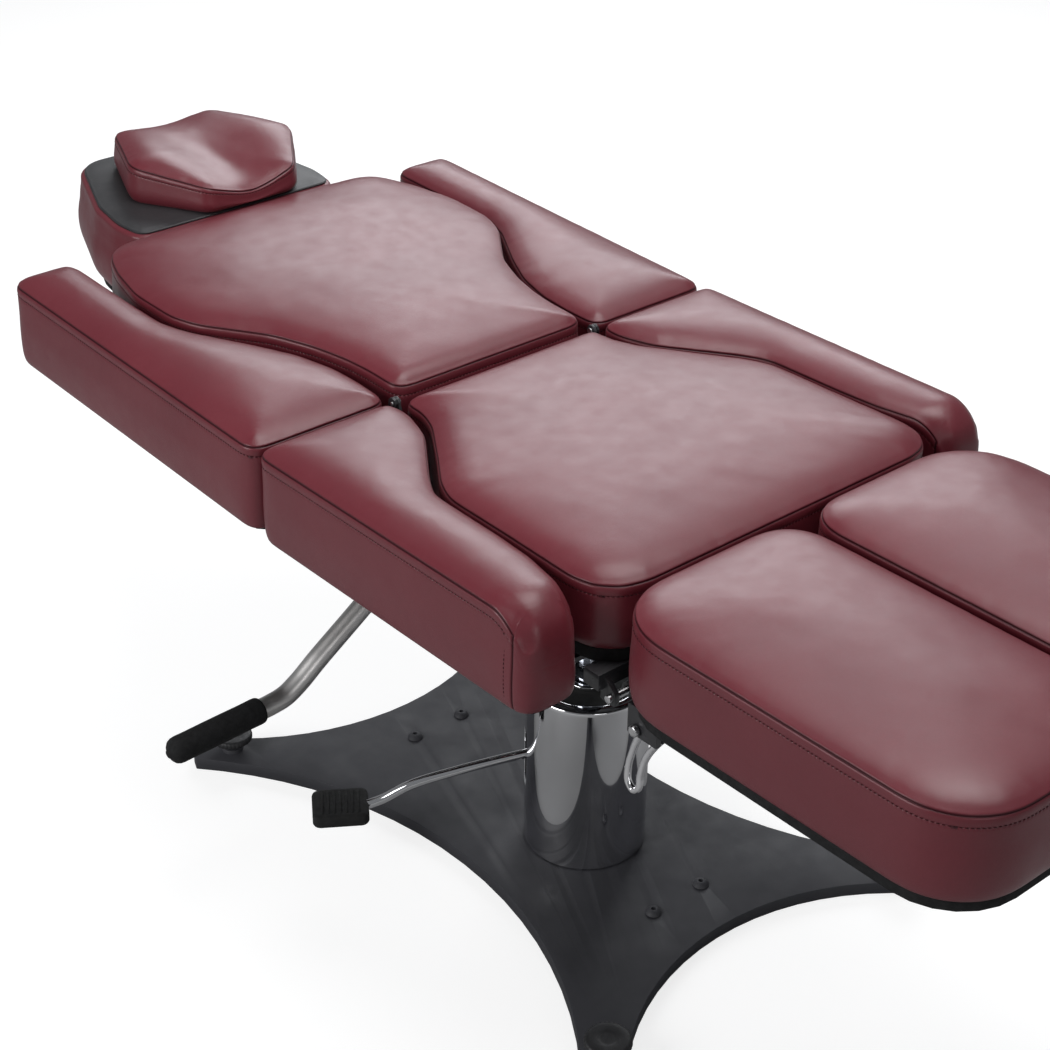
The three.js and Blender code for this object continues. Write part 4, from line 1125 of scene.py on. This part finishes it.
def build_pedal_tread():
    """Rubber block with rounded corners and ribs across its top."""
    half_length, half_width, corner = 41.0, 34.0, 12
    centre_x = 359
    cx, cy = half_length - corner, half_width - corner
    points = []
    for x, y, first in ((cx, cy, 0), (-cx, cy, 90), (-cx, -cy, 180), (cx, -cy, 270)):
        for k in range(7):
            angle = math.radians(first + k * 15)
            points.append((x + corner * math.cos(angle), y + corner * math.sin(angle)))
    loop = np.array(points)
    normal = inward(loop)
    count = len(loop)
    levels = [(4, 84.2), (1.2, 84.8), (0, 87), (0, 100), (0.8, 102.6), (3.0, 104.0),
              (6.5, 104.4)]  # inset, z
    verts, faces = [], []
    for inset, z in levels:
        verts += [[centre_x + x, y, z] for x, y in loop + normal * inset]
    top = (len(levels) - 1) * count
    for row in range(0, top, count):
        faces += ring_faces(row, row + count, count)
    faces.append([top + k for k in range(count)])
    faces.append(list(reversed(range(count))))

    rib_half, rib_foot, rib_end = 26.0, 103.9, 0.55
    rib = [(-2.2, rib_foot), (-1.9, 105.2), (-1.0, 105.8), (1.0, 105.8), (1.9, 105.2),
           (2.2, rib_foot)]  # x, z
    size = len(rib)
    for x in np.arange(-26, 27, 8.7):
        first = len(verts)
        for y, scale in ((-rib_half, rib_end), (-rib_half + 1.2, 1), (rib_half - 1.2, 1),
                         (rib_half, rib_end)):
            verts += [[centre_x + x + px * scale, y, rib_foot + (pz - rib_foot) * scale]
                      for px, pz in rib]
        for row in range(first, first + 3 * size, size):
            faces += ring_faces(row, row + size, size)
        faces.append([first + k for k in reversed(range(size))])
        faces.append([first + 3 * size + k for k in range(size)])
    obj = mesh_object("pedal_tread", verts, faces, RUBBER, PEDAL_TURN)
    sharpen(obj, 40)
    attach(obj, "pedal", "pedal_pad")


def build_releases():
    """Wire loops under the leg rests, each hung on a headed pin."""
    pivot_y, pivot_z = -395, 562.0
    loop = [(-395, 0), (-388, -17), (-378, -44), (-371, -74), (-372, -93), (-381, -101),
            (-390, -93), (-392, -73), (-400, -44), (-414, -19), (-424, -5)]  # y, drop
    pin = [(0, -6), (4, -6), (4, 14), (7.4, 14), (7.6, 16), (7.0, 19.4), (5, 20.4), (0, 20.4)]
    mirrored_pin = [(r, -z) for r, z in reversed(pin)]
    for side, x, profile in (("r", -279.0, mirrored_pin), ("l", 279.0, pin)):
        body = "release_" + side
        tube("release_loop_" + side, spline([(x, y, pivot_z + z) for y, z in loop], 9), 4.6,
             "chrome", body, "leg_release_" + side, 24, up=(1, 0, 0))
        lathe("release_pivot_" + side, rounded(profile, 0.6), "steel", body,
              at=(x, pivot_y, pivot_z), segments=40, turn=ALONG_X)


def build_gas_spring():
    """Barrel, rod and end eyes, rising slightly from the seat towards the back."""
    x, y, z = foot = (38, 285, 540)
    tilt, length = math.radians(9.1), 345
    turn = Matrix.Rotation(tilt, 4, "X") @ ALONG_Y
    for name, profile, softening, slot, body, replaces, segments in (
            ("spring_barrel_tube",
             [(4.6, 16.4), (10.2, 16.4), (11, 18), (11, 281), (10, 284.6), (4.7, 284.6)], 1.0,
             "frame_paint", "spring_barrel", "spring_barrel", 56),
            ("spring_barrel_neck", [(0, 7), (3.1, 7), (3.1, 19), (0, 19)], 0.3,
             "steel", "spring_barrel", None, 32),
            ("spring_piston_rod", [(0, 32), (4.2, 32), (4.2, 337.5), (0, 337.5)], 0.4,
             "chrome", "spring_rod", "spring_rod", 40)):
        lathe(name, rounded(profile, softening), slot, body, replaces, foot, segments, turn)
    eye = rounded([(4.4, -3), (9.6, -3), (9.6, 3), (4.4, 3)], 0.5)
    top = (x, y + length * math.cos(tilt), z + length * math.sin(tilt))
    for name, at, body in (("spring_eye_seat", foot, "spring_barrel"),
                           ("spring_eye_back", top, "spring_rod")):
        lathe(name, eye, "steel", body, at=at, segments=44, turn=ALONG_X)


def finish_frame():
    """Gives the CAD pieces that stay in view their finish and a softened edge."""
    slots = {part["node"]: part["material_slot"] for part in frame["record"]["subparts"]}
    for name, obj in NODES.items():
        if obj.hide_render:
            continue
        mesh = obj.data
        mesh.materials.clear()
        mesh.materials.append(FINISH[slots[name]])
        mesh.polygons.foreach_set("use_smooth", [True] * len(mesh.polygons))
        mesh.polygons.foreach_set("material_index", [0] * len(mesh.polygons))
        obj.modifiers.new("weld", "WELD").merge_threshold = 1e-6
        bevel = obj.modifiers.new("bevel", "BEVEL")
        if name == "base_plate":
            bevel.width = 0.0016
        else:
            bevel.width = 0.0012 if "frame" in name or "board" in name else 0.0005
        bevel.segments = 2
        bevel.limit_method = "ANGLE"
        bevel.angle_limit = math.radians(35)
        bevel.harden_normals = False
        obj.modifiers.new("split", "EDGE_SPLIT").split_angle = math.radians(50)


# ------------------------------------------------------------------ stage
def build_floor():
    """A large pale floor that glows to the camera only."""
    bpy.ops.mesh.primitive_plane_add(size=60, location=(0, 0, 0))
    floor = bpy.context.object
    floor.name = "studio_floor"
    shader = Shader("studio_floor")
    shader.feed(shader.ramp(shader.noise(scale=2.0, detail=2), low=(0.40, 0.40, 0.40),
                            high=(0.43, 0.43, 0.43)), "Base Color")
    shader.set(Roughness=0.85, Specular_IOR_Level=0.2, Emission_Color=(1, 1, 1, 1))
    seen = shader.node("ShaderNodeLightPath").outputs["Is Camera Ray"]
    shader.feed(shader.remap(seen, source=(0, 1), target=(0, 0.77)), "Emission Strength")
    floor.data.materials.append(shader.material)


def build_world():
    """White to the camera, a dim cool grey to everything else."""
    scene.view_settings.view_transform = "Standard"
    scene.view_settings.look = "None"
    world = bpy.data.worlds.new("studio")
    scene.world = world
    world.use_nodes = True
    nodes, links = world.node_tree.nodes, world.node_tree.links
    nodes.clear()
    output = nodes.new("ShaderNodeOutputWorld")
    mix = nodes.new("ShaderNodeMixShader")
    path = nodes.new("ShaderNodeLightPath")
    links.new(path.outputs["Is Camera Ray"], mix.inputs[0])
    for i, color, strength in ((1, (0.9, 0.92, 0.95, 1), 0.19), (2, (1, 1, 1, 1), 1.0)):
        background = nodes.new("ShaderNodeBackground")
        background.inputs[0].default_value = color
        background.inputs[1].default_value = strength
        links.new(background.outputs[0], mix.inputs[i])
    links.new(mix.outputs[0], output.inputs[0])


def aimed_light(name, location, target, size, power, color=(1, 1, 1)):
    light = bpy.data.lights.new(name, "AREA")
    light.shape = "RECTANGLE"
    light.size, light.size_y = size
    light.energy = power
    light.color = color
    obj = bpy.data.objects.new(name, light)
    obj.location = location
    aim = Vector(target) - Vector(location)
    obj.rotation_euler = aim.to_track_quat("-Z", "Y").to_euler()
    scene.collection.objects.link(obj)


def build_lights():
    aimed_light("softbox_far", location=(2.85, 2.87, 2.8), target=(0, 0.05, 0.7),
                size=(2.9, 2.1), power=74, color=(0.95, 0.97, 1.0))
    aimed_light("softbox_top", location=(0.5, -0.2, 3.6), target=(0, 0.1, 0.6),
                size=(2.2, 2.2), power=66)
    aimed_light("fill_left", location=(-3.3, 0.6, 1.9), target=(0, 0.2, 0.5),
                size=(1.8, 1.6), power=52)
    aimed_light("fill_front", location=(-1.6, -4.2, 2.0), target=(0, 0.0, 0.5),
                size=(1.6, 1.2), power=14)


def build_camera():
    heading, pitch, roll = (math.radians(a) for a in (49.058, -30.391, 0.488))
    forward = Vector((math.cos(pitch) * math.cos(heading), math.cos(pitch) * math.sin(heading),
                      math.sin(pitch)))
    right = forward.cross(Vector((0, 0, 1))).normalized()
    up = right.cross(forward)
    rolled_right = right * math.cos(roll) + up * math.sin(roll)
    rolled_up = up * math.cos(roll) - right * math.sin(roll)
    camera = bpy.data.cameras.new("camera")
    camera.sensor_width = 36
    camera.lens = 70.8685714
    camera.clip_end = 100
    obj = bpy.data.objects.new("camera", camera)
    pose = Matrix((rolled_right, rolled_up, -forward)).transposed().to_4x4()
    pose.translation = Vector((-1.658, -1.771, 1.969))
    obj.matrix_world = pose
    scene.collection.objects.link(obj)
    scene.camera = obj


build_seat()
build_back()
build_legs()
build_headrest()
build_pillow()
build_levellers()
build_base_bolts()
build_pump_cover()
build_column()
build_recline_lever()
build_pedal()
build_pedal_tread()
build_releases()
build_gas_spring()
finish_frame()
build_floor()
build_world()
build_lights()
build_camera()
